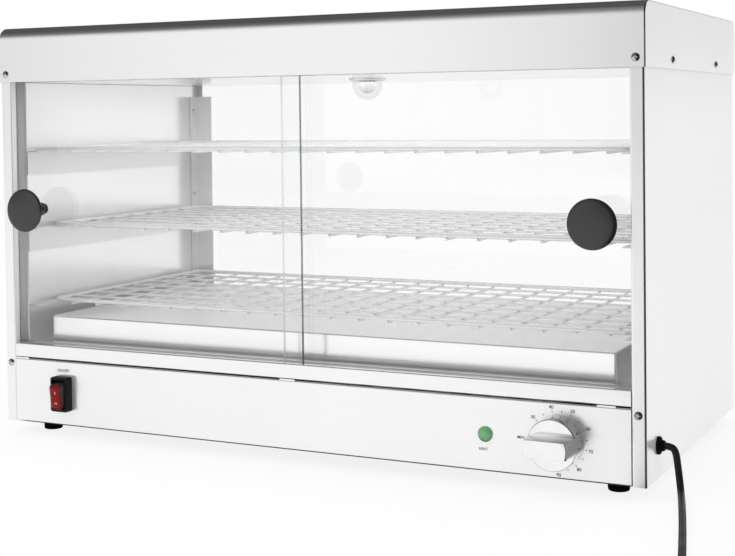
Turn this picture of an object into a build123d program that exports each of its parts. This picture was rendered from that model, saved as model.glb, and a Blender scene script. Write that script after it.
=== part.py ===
from build123d import *
import os
from math import cos, pi, radians, sin, tan

# Heated display counter: a stainless base with the controls, a glazed cabinet with two
# sliding glass doors and three wire shelves, and a lit canopy. Sizes are in millimetres.
# The origin is on the surface that the feet stand on, midway along the counter's width
# and depth. X runs along the front from left to right, Y from the front to the back.

# Outer body
body_width = 750.0
body_depth = 390.0
body_height = 451.0
foot_height = 14.0
foot_radius = 11.5
foot_inset = 37.0
foot_recess = 5.0
vent_side_inset = 195.0
vent_end_inset = 150.0
slot_inset = 235.0

# Folded sheet
sheet = 1.0
bend_radius = 2.0
fit_gap = 0.4
strip_width = 14.0
strip_return = 7.5
rear_flange = 22.0

# Canopy
canopy_sheet = 1.2
canopy_gap = 0.5
canopy_drop = 62.0
canopy_bend = 14.0
canopy_edge = 1.5

# Front panel and sill
panel_height = 73.0
panel_seam = 1.4
panel_fold = 16.0
sill_height = 15.6
sill_bend = 1.2
rail_gap = 0.3
floor_step = 3.0
tab_width = 18.0
tab_height = 1.0
left_tab_inset = 24.0
middle_tab_shift = -4.0
right_tab_inset = 38.0

# Sliding glass doors
glass = 4.0
door_setback = 9.0
door_pitch = 9.0
door_overlap = 27.0
left_door_gap = 3.0
right_door_gap = 11.0
door_lift = 5.0
track_play = 0.3
track_depth = 15.7
track_wall = 0.7
rail_height = 3.3
top_rail_height = 12.0
groove_top = 10.0

# Door knobs
knob_inset = 47.2
knob_rise = 6.0
knob_radius = 24.2
knob_reach = 31.6
knob_rim = 3.3
knob_neck_radius = 5.0
knob_collar_radius = 7.5
knob_collar_length = 8.0
knob_screw_radius = 2.0
knob_screw_head = 1.8
knob_screw_grip = 15.0
washer_radius = 6.0
washer_thickness = 0.8

# Wire shelves
shelf_count = 3
shelf_end_gap = 22.0
shelf_front = 56.0
shelf_back_gap = 22.0
lowest_shelf_rise = 46.0
top_shelf_drop = 78.0
rim_wire = 4.5
wire = 2.8
rim_corner = 12.0
long_wires = 7
cross_wires = 20
cross_margin = 30.0
wire_sides = 8

# Shelf brackets on the side walls
bracket_drop = 28.0
bracket_ledge = 15.0
bracket_start = 25.0
bracket_back_gap = 26.0
bracket_sheet = 1.2

# Heater under the lowest shelf
plinth_side_gap = 38.5
plinth_height = 31.0
plinth_front = 36.0
plinth_back_gap = 22.0
element_wire = 6.5
element_end_gap = 56.5
element_pitch = 60.0
element_rise = 16.0
element_bend = 28.0
element_shares = (0.30, 0.74)
support_share = 0.36
support_sheet = 1.5
support_edge = 9.0

# Corner posts and back glass
post_wall_leg = 14.0
post_rear_leg = 27.0
post_sheet = 2.0
post_top_gap = 15.0
low_rivet_rise = 40.0
high_rivet_drop = 19.0
rivet_radius = 2.4
rivet_height = 1.2

# Lamp
lamp_shift = 5.0
dome_radius = 18.0
dome_reach = 25.0
dome_wall = 2.0
dome_flange = 3.0
lamp_ring_radius = 21.5
lamp_ring_height = 2.5
bulb_radius = 10.5
bulb_neck_radius = 6.8
holder_radius = 16.0
holder_height = 34.0

# Controls
dial_inset = 85.0
dial_radius = 25.3
dial_top_radius = 24.5
dial_skirt = 20.0
dial_height = 41.2
dial_grip_length = 39.0
dial_grip_width = 17.0
spindle_radius = 3.0
capillary_radius = 1.2
capillary_shift = 40.0
switch_inset = 81.5
switch_width = 23.5
switch_height = 39.0
switch_proud = 9.5
switch_wall = 3.0
rocker_width = 14.2
rocker_height = 27.4
rocker_reach = 16.0
rocker_tilt = 8.0
rocker_pin_radius = 1.5
rocker_pin_reach = 9.0
boot_wall = 0.8
boot_gap = 0.1
sleeve_wall = 0.4
sleeve_depth = 6.0
pilot_inset = 159.0
pilot_radius = 7.6
pilot_proud = 4.5
pilot_rim = 1.4

# Screws
screw_head_radius = 4.0
screw_head_height = 2.2
screw_shank_radius = 1.75
screw_length = 8.0
screw_clearance = 0.25
screw_edge = 7.5
fascia_screw_rise = 9.0
strip_screw_drop = 6.0
front_side_screw = 101.0
back_side_screw = 96.0

# Mains lead
cord_diameter = 6.8
gland_setback = 41.0
gland_level = 45.5
gland_flange_radius = 8.6
gland_flange = 3.0
gland_nose = 3.6
gland_tail = 18.0
coil_radius = 52.5
coil_step = 8.7
coil_rise = 8.1
coil_half_turns = 12
coil_climb_turn = 6
tail_runs = 3
tail_run = 11.0
tail_turn = 8.0
plug_neck = 18.0
plug_length = 34.0
plug_width = 36.0
plug_thickness = 22.0
plug_corner = 6.0
plug_shoulder = 8.0
pin_radius = 2.0
pin_length = 19.0
pin_pitch = 9.5

# Levels and planes that follow from the sizes above
dial_gap = 0.8
overall_depth = dial_gap + dial_height + body_depth + canopy_gap + canopy_sheet
front = dial_gap + dial_height - overall_depth / 2
rear = front + body_depth
half_width = body_width / 2
wall_face = half_width - strip_width
base_z = foot_height
top_z = base_z + body_height
fascia_z = top_z - canopy_drop
seam_z = base_z + panel_height
sill_bottom = seam_z + panel_seam
sill_z = sill_bottom + sill_height
floor_z = sill_z - floor_step
control_z = base_z + panel_height / 2
track_front = front + strip_return + 0.5
track_rear = track_front + track_depth
liner_front = track_rear + 0.6
ceiling_z = fascia_z
top_rail_z = fascia_z + sheet
glass_z = floor_z - sheet - fit_gap
left_door_edge = left_door_gap - half_width
right_door_edge = half_width - right_door_gap
door_width = (right_door_edge - left_door_edge + door_overlap) / 2
knob_level = (floor_z + ceiling_z) / 2 + knob_rise
tab_places = (left_tab_inset - half_width, middle_tab_shift, half_width - right_tab_inset)
shelf_width = body_width - 2 * shelf_end_gap
shelf_depth = body_depth - shelf_front - shelf_back_gap
lowest_shelf = floor_z + lowest_shelf_rise
shelf_pitch = (ceiling_z - top_shelf_drop - lowest_shelf) / (shelf_count - 1)
cross_pitch = (shelf_width - 2 * cross_margin) / (cross_wires - 1)
bracket_length = body_depth - bracket_start - bracket_back_gap
plinth_width = body_width - 2 * plinth_side_gap
plinth_depth = body_depth - plinth_front - plinth_back_gap
element_span = plinth_width - 2 * element_end_gap
post_height = ceiling_z - floor_z - post_top_gap
lowest_rivet = floor_z + low_rivet_rise
highest_rivet = floor_z + post_height - high_rivet_drop
rivet_levels = (lowest_rivet, (lowest_rivet + highest_rivet) / 2, highest_rivet)
lamp_setback = body_depth / 2 - lamp_shift
dial_place = half_width - dial_inset
switch_place = switch_inset - half_width
pilot_place = half_width - pilot_inset
side_screw_places = (front_side_screw, body_depth - back_side_screw)

os.makedirs("parts", exist_ok=True)


def keep(piece, name):
    """Label a finished piece and write it to its own file."""
    piece.part.label = name
    export_step(piece.part, f"parts/{name}.step")


def folded(points, thickness, radius=bend_radius):
    """Section of a sheet folded along the points, with its thickness to their left."""
    with BuildSketch() as section:
        with BuildLine():
            FilletPolyline(*points, radius=radius)
            offset(amount=thickness, side=Side.LEFT)
        make_face()
    return section.sketch


def pan_screw(head_radius, head_height, shank_radius, length):
    """A screw along Z with its domed head above the plane and its shank below."""
    with BuildPart() as screw:
        with BuildSketch(Plane.XZ):
            with BuildLine():
                crown = head_radius * 0.3
                Polyline((crown, head_height), (0, head_height), (0, -length),
                         (shank_radius, -length), (shank_radius, 0), (head_radius, 0),
                         (head_radius, head_height / 3))
                ThreePointArc((head_radius, head_height / 3),
                              (head_radius * 0.7, head_height * 0.8), (crown, head_height))
            make_face()
        revolve(axis=Axis.Z)
    return screw.part


def facing_front(x, y, z):
    """A place whose Z axis points to the front of the counter."""
    return Location((x, y, z), (90, 0, 0))


def facing_back(x, y, z):
    """A place whose Z axis points to the back of the counter."""
    return Location((x, y, z), (-90, 0, 0))


def facing_side(x, y, z, side):
    """A place whose Z axis points to the right for side 1 and to the left for side -1."""
    return Location((x, y, z), (0, 90 * side, 0))


# Base

def base_tray():
    """The pan under the base, with its edges turned up behind the panels."""
    edge = half_width - sheet - fit_gap
    tray_front = front + strip_return + fit_gap
    tray_rear = rear - sheet - fit_gap
    rise = 14.0
    vent_length, vent_width = 40.0, 4.0
    vent_columns, vent_rows = 7, 2
    column_pitch = (body_width - 2 * vent_side_inset) / (vent_columns - 1)
    row_pitch = (body_depth - 2 * vent_end_inset) / (vent_rows - 1)
    with BuildPart() as tray:
        with BuildSketch(Plane.XZ.offset(-tray_front)):
            add(folded([(-edge, base_z + rise), (-edge, base_z), (edge, base_z),
                        (edge, base_z + rise)], sheet))
        extrude(amount=-(tray_rear - tray_front))
        for y in (tray_front + sheet / 2, tray_rear - sheet / 2):
            with Locations((0, y, base_z + sheet)):
                Box(2 * (edge - bend_radius), sheet, rise - sheet,
                    align=(Align.CENTER, Align.CENTER, Align.MIN))
        with Locations(*[(x, y, base_z) for x, y in foot_places()]):
            Cylinder(screw_shank_radius + screw_clearance, 4 * sheet, mode=Mode.SUBTRACT)
        with Locations((0, (front + rear) / 2, base_z)):
            with GridLocations(column_pitch, row_pitch, vent_columns, vent_rows):
                Box(vent_length, vent_width, 4 * sheet, mode=Mode.SUBTRACT)
    keep(tray, "base_tray")


def foot_places():
    """Centres of the four feet."""
    x = half_width - foot_inset
    return [(sx * x, y) for sx in (-1, 1) for y in (front + foot_inset, rear - foot_inset)]


def feet():
    """Four moulded feet and the screws that hold them to the tray."""
    recess = foot_recess
    with BuildPart() as foot:
        with BuildSketch(Plane.XZ):
            with BuildLine():
                Polyline((0, recess), (screw_head_radius + 1, recess), (screw_head_radius + 1, 0),
                         (foot_radius - 2.5, 0))
                ThreePointArc((foot_radius - 2.5, 0), (foot_radius - 1.2, 0.6),
                              (foot_radius - 0.8, 2))
                Polyline((foot_radius - 0.8, 2), (foot_radius, foot_height), (0, foot_height),
                         (0, recess))
            make_face()
        revolve(axis=Axis.Z)
        Cylinder(screw_shank_radius + screw_clearance, 3 * foot_height, mode=Mode.SUBTRACT)
    with BuildPart() as group:
        with Locations(*[(x, y, 0) for x, y in foot_places()]):
            add(foot.part)
    keep(group, "feet")
    screw = pan_screw(screw_head_radius, screw_head_height, screw_shank_radius,
                      foot_height - recess + 5 * sheet)
    with BuildPart() as screws:
        with Locations(*[Location((x, y, recess), (180, 0, 0)) for x, y in foot_places()]):
            add(screw)
    keep(screws, "foot_screws")


def control_panel():
    """The front panel under the doors, folded back along its top, with its tabs."""
    half = wall_face - fit_gap
    with BuildPart() as panel:
        with BuildSketch(Plane.YZ.offset(-half)):
            add(folded([(front + panel_fold, seam_z), (front, seam_z), (front, base_z),
                        (front + strip_return, base_z)], sheet))
        extrude(amount=2 * half)
        for x in tab_places:
            with Locations((x, front, seam_z - sheet / 2)):
                Box(tab_width, 3 * sheet, tab_height + sheet / 2,
                    align=(Align.CENTER, Align.MIN, Align.MIN))
        with Locations(facing_front(switch_place, front, control_z)):
            Box(switch_width - 2 * switch_wall + 2 * fit_gap,
                switch_height - 2 * switch_wall + 2 * fit_gap, 4 * sheet, mode=Mode.SUBTRACT)
        with Locations(facing_front(pilot_place, front, control_z)):
            Cylinder(pilot_radius - 1, 4 * sheet, mode=Mode.SUBTRACT)
        with Locations(facing_front(dial_place, front, control_z)):
            Cylinder(spindle_radius + 2, 4 * sheet, mode=Mode.SUBTRACT)
    keep(panel, "control_panel")


def door_sill():
    """The folded sill over the front panel, whose trough carries the lower door rail."""
    half = wall_face - fit_gap
    trough_front = track_front - rail_gap
    trough_rear = track_rear + rail_gap
    trough = floor_z - sheet - rail_height
    lip = 5.0
    with BuildPart() as sill:
        with BuildSketch(Plane.YZ.offset(-half)):
            add(folded([(trough_rear, floor_z - sheet - fit_gap), (trough_rear, trough),
                        (trough_front, trough), (trough_front, sill_z), (front, sill_z),
                        (front, sill_bottom), (front + lip, sill_bottom)],
                       sheet, radius=sill_bend))
        extrude(amount=2 * half)
    keep(sill, "door_sill")


def back_panel():
    """The plate that closes the back of the base, with its rows of air slots."""
    top = floor_z - sheet - fit_gap
    bottom = base_z + sheet + fit_gap
    y = rear - 2 * (sheet + fit_gap)
    slot_length, slot_height, slot_step = 46.0, 5.0, 14.0
    columns, rows = 5, 3
    slot_pitch = (body_width - 2 * slot_inset) / (columns - 1)
    with BuildPart() as panel:
        with Locations((0, y, bottom)):
            Box(2 * (half_width - 2 * bend_radius), sheet, top - bottom,
                align=(Align.CENTER, Align.MAX, Align.MIN))
        with Locations(facing_back(0, y, (top + bottom) / 2)):
            with GridLocations(slot_pitch, slot_step, columns, rows):
                Box(slot_length, slot_height, 4 * sheet, mode=Mode.SUBTRACT)
    keep(panel, "back_panel")


def floor_plate():
    """The floor of the heated space, holed for the thermostat's capillary."""
    back = rear - sheet - fit_gap
    with BuildPart() as plate:
        with Locations((0, liner_front + sheet, floor_z)):
            Box(2 * (wall_face - fit_gap), back - liner_front - sheet, sheet,
                align=(Align.CENTER, Align.MIN, Align.MAX))
        with Locations((capillary_x(), capillary_y(), floor_z)):
            Cylinder(2.5 * capillary_radius, 4 * sheet, mode=Mode.SUBTRACT)
    keep(plate, "floor_plate")


# Side walls

def side_panel(side, name):
    """An outer side wall, folded in at the front to the strip and at the back to a flange."""
    top = top_z - canopy_bend - canopy_sheet
    with BuildPart() as panel:
        with BuildSketch(Plane.XY.offset(base_z)):
            add(folded([(wall_face, front + strip_return), (wall_face, front),
                        (half_width, front), (half_width, rear),
                        (half_width - rear_flange, rear)], sheet))
        extrude(amount=top - base_z)
        hole = screw_shank_radius + screw_clearance
        strip_x = half_width - screw_edge
        for z in (fascia_z + fascia_screw_rise, seam_z - strip_screw_drop):
            with Locations(facing_front(strip_x, front, z)):
                Cylinder(hole, 4 * sheet, mode=Mode.SUBTRACT)
        for y in side_screw_places:
            with Locations(facing_side(half_width, front + y, fascia_z + fascia_screw_rise, 1)):
                Cylinder(hole, 4 * sheet, mode=Mode.SUBTRACT)
        if side > 0:
            with Locations(facing_side(half_width, front + gland_setback, gland_level, 1)):
                Cylinder(gland_flange_radius - 2, 4 * sheet, mode=Mode.SUBTRACT)
        else:
            mirror(about=Plane.YZ, mode=Mode.REPLACE)
    keep(panel, name)


def side_liner(side, name):
    """The bright inner wall, flanged out at the front to close the wall's cavity."""
    reach = half_width - sheet - fit_gap
    back = rear - sheet - fit_gap
    bottom = floor_z - sheet
    top = ceiling_z - fit_gap
    with BuildPart() as liner:
        with BuildSketch(Plane.XY.offset(bottom)):
            add(folded([(reach, liner_front), (wall_face, liner_front), (wall_face, back),
                        (reach, back)][::-1], sheet))
        extrude(amount=top - bottom)
        hole = rivet_radius / 2 + screw_clearance
        for z in rivet_levels:
            with Locations(facing_side(wall_face, rivet_y(), z, 1)):
                Cylinder(hole, 6 * sheet, mode=Mode.SUBTRACT)
        if side < 0:
            mirror(about=Plane.YZ, mode=Mode.REPLACE)
    keep(liner, name)


def back_glass_front():
    """Y of the back pane's inner face."""
    return rear - sheet - 2 * fit_gap - sheet - glass


def rivet_y():
    """Y of the rivets in the corner posts."""
    return back_glass_front() - post_sheet - post_wall_leg / 2


def corner_post(side, name):
    """The angle in the back corner that holds the back pane."""
    y = back_glass_front() - fit_gap
    x = wall_face - fit_gap
    with BuildPart() as post:
        with BuildSketch(Plane.XY.offset(floor_z)):
            add(folded([(x, y - post_wall_leg), (x, y), (x - post_rear_leg, y)], post_sheet,
                       radius=post_sheet + 0.5))
        extrude(amount=post_height)
        for z in rivet_levels:
            with Locations(facing_side(x, rivet_y(), z, 1)):
                Cylinder(rivet_radius / 2 + screw_clearance, 6 * sheet, mode=Mode.SUBTRACT)
        if side < 0:
            mirror(about=Plane.YZ, mode=Mode.REPLACE)
    keep(post, name)


def post_rivets():
    """The rivets that hold the corner posts to the side walls."""
    rivet = pan_screw(rivet_radius, rivet_height, rivet_radius / 2, post_sheet + sheet + 1)
    x = wall_face - fit_gap - post_sheet
    with BuildPart() as rivets:
        with Locations(*[facing_side(side * x, rivet_y(), z, -side)
                         for side in (-1, 1) for z in rivet_levels]):
            add(rivet)
    keep(rivets, "post_rivets")


def back_glass():
    """The fixed pane at the back."""
    with BuildPart() as pane:
        with Locations((0, back_glass_front(), floor_z + fit_gap)):
            Box(2 * (wall_face - fit_gap), glass, ceiling_z - floor_z - 2 * fit_gap,
                align=(Align.CENTER, Align.MIN, Align.MIN))
        fillet(pane.edges().filter_by(Axis.Y), 2)
    keep(pane, "back_glass")


def shelf_brackets(side, name):
    """The three folded ledges on one side wall, one under the end of each shelf."""
    with BuildPart() as brackets:
        for level in range(shelf_count):
            top = shelf_z(level) - wire / 2 - track_play
            with BuildSketch(Plane.XZ.offset(-(front + bracket_start))):
                add(folded([(wall_face - fit_gap, top - bracket_drop), (wall_face - fit_gap, top),
                            (wall_face - bracket_ledge, top)], bracket_sheet))
            extrude(amount=-bracket_length)
        if side < 0:
            mirror(about=Plane.YZ, mode=Mode.REPLACE)
    keep(brackets, name)


# Canopy and ceiling

def canopy_section(shrink):
    """Side outline of the canopy, drawn in from its outer face by the amount given."""
    y0 = front - canopy_gap - canopy_sheet + shrink
    y1 = rear + canopy_gap + canopy_sheet - shrink
    z1 = top_z - shrink
    r0 = canopy_bend - shrink
    r1 = bend_radius + canopy_sheet - shrink
    with BuildSketch() as section:
        with BuildLine():
            Line((y1, fascia_z), (y0, fascia_z))
            Line((y0, fascia_z), (y0, z1 - r0))
            TangentArc((y0, z1 - r0), (y0 + r0, z1), tangent=(0, 1))
            Line((y0 + r0, z1), (y1 - r1, z1))
            TangentArc((y1 - r1, z1), (y1, z1 - r1), tangent=(1, 0))
            Line((y1, z1 - r1), (y1, fascia_z))
        make_face()
    return section.sketch


def canopy():
    """The lid over the cabinet: fascia, rolled front edge, top, sides and back in one shell."""
    half = half_width + canopy_gap + canopy_sheet
    with BuildPart() as lid:
        with BuildSketch(Plane.YZ.offset(-half)):
            add(canopy_section(0))
        extrude(amount=2 * half)
        ends = lid.faces().filter_by(Axis.X)
        fillet(ends.edges().filter_by(lambda edge: edge.center().Z > fascia_z + 1),
               canopy_edge)
        with BuildSketch(Plane.YZ.offset(-half + canopy_sheet)):
            add(canopy_section(canopy_sheet))
        extrude(amount=2 * (half - canopy_sheet), mode=Mode.SUBTRACT)
        hole = screw_shank_radius + screw_clearance
        z = fascia_z + fascia_screw_rise
        for side in (-1, 1):
            with Locations(facing_front(side * (half_width - screw_edge), front, z)):
                Cylinder(hole, 8 * canopy_sheet, mode=Mode.SUBTRACT)
            for y in side_screw_places:
                with Locations(facing_side(side * half_width, front + y, z, side)):
                    Cylinder(hole, 8 * canopy_sheet, mode=Mode.SUBTRACT)
    keep(lid, "canopy")


def canopy_screws():
    """Screws through the canopy's front and sides, and through the strips at the base."""
    screw = pan_screw(screw_head_radius, screw_head_height, screw_shank_radius, screw_length)
    z = fascia_z + fascia_screw_rise
    x = half_width - screw_edge
    with BuildPart() as fascia_screws:
        with Locations(*[facing_front(side * x, front - canopy_gap - canopy_sheet, z)
                         for side in (-1, 1)]):
            add(screw)
    keep(fascia_screws, "fascia_screws")
    face = half_width + canopy_gap + canopy_sheet
    with BuildPart() as side_screws:
        with Locations(*[facing_side(side * face, front + y, z, side)
                         for side in (-1, 1) for y in side_screw_places]):
            add(screw)
    keep(side_screws, "canopy_side_screws")
    with BuildPart() as strip_screws:
        with Locations(*[facing_front(side * x, front, seam_z - strip_screw_drop)
                         for side in (-1, 1)]):
            add(screw)
    keep(strip_screws, "strip_screws")


def ceiling_panel():
    """The inner ceiling, holed for the lamp, with its edges turned up inside the canopy."""
    half = wall_face - fit_gap
    upstand = 20.0
    start = liner_front + sheet
    back = rear - sheet - fit_gap
    with BuildPart() as ceiling:
        with BuildSketch(Plane.XZ.offset(-start)):
            add(folded([(-half, ceiling_z + upstand), (-half, ceiling_z), (half, ceiling_z),
                        (half, ceiling_z + upstand)], sheet))
        extrude(amount=-(back - start))
        with Locations((0, front + lamp_setback, ceiling_z)):
            Cylinder(dome_radius + fit_gap, 6 * sheet, mode=Mode.SUBTRACT)
    keep(ceiling, "ceiling_panel")


def door_rails():
    """The double-grooved rails that the doors slide in."""
    grooves = [front + door_setback + i * door_pitch for i in (0, 1)]
    half = half_width - sheet - 2 * fit_gap
    low = floor_z - sheet - rail_height
    with BuildPart() as bottom_rail:
        with Locations((0, track_front, low)):
            Box(2 * half, track_depth, sill_z - sheet - low,
                align=(Align.CENTER, Align.MIN, Align.MIN))
        for y in grooves:
            with Locations((0, y - track_play, glass_z - track_play)):
                Box(2 * half, glass + 2 * track_play, 20, mode=Mode.SUBTRACT,
                    align=(Align.CENTER, Align.MIN, Align.MIN))
        for side in (-1, 1):
            with Locations((side * half_width, track_front, low - 1)):
                Box(2 * (strip_width + fit_gap), 2 * track_depth, rail_height, mode=Mode.SUBTRACT,
                    align=(Align.CENTER, Align.MIN, Align.MIN))
        chamfer(bottom_rail.edges().filter_by(Axis.X).group_by(Axis.Z)[0], sill_bend)
    keep(bottom_rail, "bottom_door_rail")
    high = top_rail_z
    with BuildPart() as top_rail:
        with Locations((0, track_front, high)):
            Box(2 * half, track_depth, top_rail_height, align=(Align.CENTER, Align.MIN, Align.MIN))
        for y in grooves:
            with Locations((0, y - track_play, high)):
                Box(2 * half, glass + 2 * track_play, 2 * groove_top, mode=Mode.SUBTRACT,
                    align=(Align.CENTER, Align.MIN, Align.CENTER))
    keep(top_rail, "top_door_rail")


def front_header():
    """The channel behind the fascia that holds the upper door rail."""
    half = wall_face - fit_gap
    top = top_rail_z + top_rail_height
    with BuildPart() as channel:
        with BuildSketch(Plane.YZ.offset(-half)):
            add(folded([(track_front - rail_gap, fascia_z), (track_front - rail_gap, top),
                        (track_rear + rail_gap, top), (track_rear + rail_gap, top_rail_z + sheet)],
                       sheet, radius=rail_gap))
        extrude(amount=2 * half)
    keep(channel, "front_header")


# Doors

def door_top():
    """Level of the doors' upper edge, which leaves the room to lift them out."""
    return top_rail_z + groove_top - door_lift


def door_knob_places():
    """Centre of the left and of the right knob, at the front face of its pane."""
    x = half_width - knob_inset
    return {"left": (-x, front + door_setback, knob_level),
            "right": (x, front + door_setback + door_pitch, knob_level)}


def door(hand):
    """One glass door with its mushroom knob and the washer-headed screw that holds it."""
    x, y, z = door_knob_places()[hand]
    left_edge = left_door_edge if hand == "left" else right_door_edge - door_width
    with BuildPart() as pane:
        with Locations((left_edge, y, glass_z)):
            Box(door_width, glass, door_top() - glass_z,
                align=(Align.MIN, Align.MIN, Align.MIN))
        fillet(pane.edges().filter_by(Axis.Y), 2)
        with Locations(facing_front(x, y, z)):
            Cylinder(knob_screw_radius + 1, 4 * glass, mode=Mode.SUBTRACT)
    keep(pane, f"{hand}_door_glass")
    with BuildPart() as knob:
        with BuildSketch(Plane.XZ):
            with BuildLine():
                reach = knob_reach
                rim = reach - knob_rim
                crown = knob_radius * 0.25
                Polyline((crown, reach), (0, reach), (0, 0), (knob_collar_radius, 0),
                         (knob_collar_radius, knob_collar_length - 2),
                         (knob_neck_radius, knob_collar_length), (knob_neck_radius, rim - 8))
                ThreePointArc((knob_neck_radius, rim - 8), (knob_neck_radius + 4.5, rim - 2.6),
                              (knob_radius - 1, rim - 0.6))
                ThreePointArc((knob_radius - 1, rim - 0.6), (knob_radius, rim + 0.9),
                              (knob_radius - 1.2, rim + 2.1))
                ThreePointArc((knob_radius - 1.2, rim + 2.1), (knob_radius * 0.6, reach - 0.35),
                              (crown, reach))
            make_face()
        revolve(axis=Axis.Z)
        Cylinder(knob_screw_radius, 2 * knob_screw_grip, mode=Mode.SUBTRACT)
    with BuildPart() as placed_knob:
        with Locations(facing_front(x, y, z)):
            add(knob.part)
    keep(placed_knob, f"{hand}_door_knob")
    screw = pan_screw(screw_head_radius, knob_screw_head, knob_screw_radius - 0.05,
                      washer_thickness + glass + knob_screw_grip - 2)
    with BuildPart() as knob_screw:
        with Locations(facing_back(x, y + glass + washer_thickness, z)):
            add(screw)
        with Locations(facing_back(x, y + glass, z)):
            Cylinder(washer_radius, washer_thickness,
                     align=(Align.CENTER, Align.CENTER, Align.MIN))
    keep(knob_screw, f"{hand}_knob_screw")


# Shelves

def shelf_z(level):
    """Height of a shelf's wires, counted from the lowest shelf."""
    return lowest_shelf + level * shelf_pitch


def rod_section(width):
    """Eight-sided section of a shelf wire, with a flat above and below."""
    with BuildSketch() as section:
        RegularPolygon(width / 2, wire_sides, major_radius=False, rotation=180 / wire_sides)
    return section.sketch


def shelf(level, name):
    """A wire shelf: a rim, wires along it on one level, and wires across below them."""
    z = shelf_z(level)
    middle = front + shelf_front + shelf_depth / 2
    half_x = (shelf_width - rim_wire) / 2
    half_y = (shelf_depth - rim_wire) / 2
    rim_z = z + (rim_wire - wire) / 2
    long_pitch = 2 * half_y / (long_wires + 1)
    with BuildPart() as rim:
        with BuildLine(Plane.XY.offset(rim_z)) as path:
            FilletPolyline((half_x, middle - half_y), (half_x, middle + half_y),
                           (-half_x, middle + half_y), (-half_x, middle - half_y),
                           radius=rim_corner, close=True)
        loop = path.wire()
        with BuildSketch(Plane(origin=loop @ 0, x_dir=(0, 0, 1), z_dir=loop % 0)):
            add(rod_section(rim_wire))
        sweep(path=loop)
    with BuildPart() as along:
        with BuildSketch(Plane.YZ.offset(rim_wire / 2 - half_x)):
            with Locations((middle, z)):
                with GridLocations(long_pitch, 1, long_wires, 1):
                    add(rod_section(wire))
        extrude(amount=2 * half_x - rim_wire)
    with BuildPart() as across:
        with BuildSketch(Plane.XZ.offset(half_y + rim_wire / 2 - middle)):
            with Locations((0, z - wire)):
                with GridLocations(cross_pitch, 1, cross_wires, 1):
                    add(rod_section(wire))
        extrude(amount=-(2 * half_y + rim_wire))
    grid = Compound([*rim.solids(), *along.solids(), *across.solids()])
    grid.label = name
    export_step(grid, f"parts/{name}.step")


# Heater

def heater_cover():
    """The bright cover over the elements, open below."""
    with BuildPart() as cover:
        with Locations((0, front + plinth_front, floor_z)):
            Box(plinth_width, plinth_depth, plinth_height,
                align=(Align.CENTER, Align.MIN, Align.MIN))
        fillet(cover.edges().filter_by(Axis.Z), bend_radius)
        fillet(cover.faces().sort_by(Axis.Z)[-1].edges(), bend_radius)
        offset(amount=-sheet, openings=cover.faces().sort_by(Axis.Z)[0])
    keep(cover, "heater_cover")


def heating_elements():
    """Two hairpin elements, each carried by its pair of holed supports."""
    z = floor_z + element_rise
    half = element_span / 2
    for share, word in zip(element_shares, ("front", "back")):
        y0 = front + plinth_front + share * plinth_depth - element_pitch / 2
        y1 = y0 + element_pitch
        with BuildPart() as element:
            with BuildLine(Plane.XY.offset(z)) as path:
                FilletPolyline((-half, y0), (half, y0), (half, y1), (-half, y1),
                               radius=element_bend)
            with BuildSketch(Plane(origin=(-half, y0, z), z_dir=(1, 0, 0))):
                Circle(element_wire / 2)
            sweep(path=path.wire())
        keep(element, f"{word}_heating_element")
    with BuildPart() as supports:
        for share in element_shares:
            y0 = front + plinth_front + share * plinth_depth - element_pitch / 2
            for x in (-support_share * element_span, support_share * element_span):
                with Locations((x, y0 + element_pitch / 2, floor_z)):
                    Box(support_sheet, element_pitch + 2 * support_edge,
                        element_rise + support_edge,
                        align=(Align.CENTER, Align.CENTER, Align.MIN))
                for y in (y0, y0 + element_pitch):
                    with Locations(facing_side(x, y, z, 1)):
                        Cylinder(element_wire / 2 + 0.2, 4 * support_sheet, mode=Mode.SUBTRACT)
    keep(supports, "element_supports")


# Lamp

def lamp():
    """The cabinet lamp: glass dome, trim ring, bulb and the holder above the ceiling."""
    x, y = 0.0, front + lamp_setback
    top = ceiling_z + sheet
    bottom = ceiling_z - dome_reach
    inner = dome_radius - dome_wall
    with BuildPart() as dome:
        with Locations((x, y, bottom + dome_radius)):
            Sphere(dome_radius, arc_size1=-90, arc_size2=0,
                   align=(Align.CENTER, Align.CENTER, Align.MAX))
            Cylinder(dome_radius, top - bottom - dome_radius,
                     align=(Align.CENTER, Align.CENTER, Align.MIN))
        with Locations((x, y, top)):
            Cylinder(dome_radius + dome_flange, 1.5, align=(Align.CENTER, Align.CENTER, Align.MIN))
        with Locations((x, y, bottom + dome_radius)):
            Sphere(inner, arc_size1=-90, arc_size2=0, mode=Mode.SUBTRACT,
                   align=(Align.CENTER, Align.CENTER, Align.MAX))
            Cylinder(inner, 4 * dome_reach, mode=Mode.SUBTRACT,
                     align=(Align.CENTER, Align.CENTER, Align.MIN))
    keep(dome, "lamp_dome")
    with BuildPart() as ring:
        with Locations((x, y, ceiling_z)):
            Cylinder(lamp_ring_radius, lamp_ring_height,
                     align=(Align.CENTER, Align.CENTER, Align.MAX))
            Cylinder(dome_radius + fit_gap, 4 * lamp_ring_height, mode=Mode.SUBTRACT)
        fillet(ring.faces().sort_by(Axis.Z)[0].edges().sort_by(SortBy.RADIUS)[-1], 1.2)
    keep(ring, "lamp_ring")
    seat = top + 1.5
    with BuildPart() as holder:
        with Locations((x, y, seat)):
            Cylinder(dome_radius + dome_flange, 2, align=(Align.CENTER, Align.CENTER, Align.MIN))
            Cylinder(holder_radius, holder_height, align=(Align.CENTER, Align.CENTER, Align.MIN))
            Cylinder(bulb_neck_radius + 0.3, 2 * (holder_height - 6), mode=Mode.SUBTRACT)
    keep(holder, "lamp_holder")
    centre = bottom + dome_radius
    with BuildPart() as bulb:
        with Locations((x, y, centre)):
            Sphere(bulb_radius)
            Cylinder(bulb_neck_radius, seat + holder_height - 7 - centre,
                     align=(Align.CENTER, Align.CENTER, Align.MIN))
    keep(bulb, "lamp_bulb")


# Controls

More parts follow.
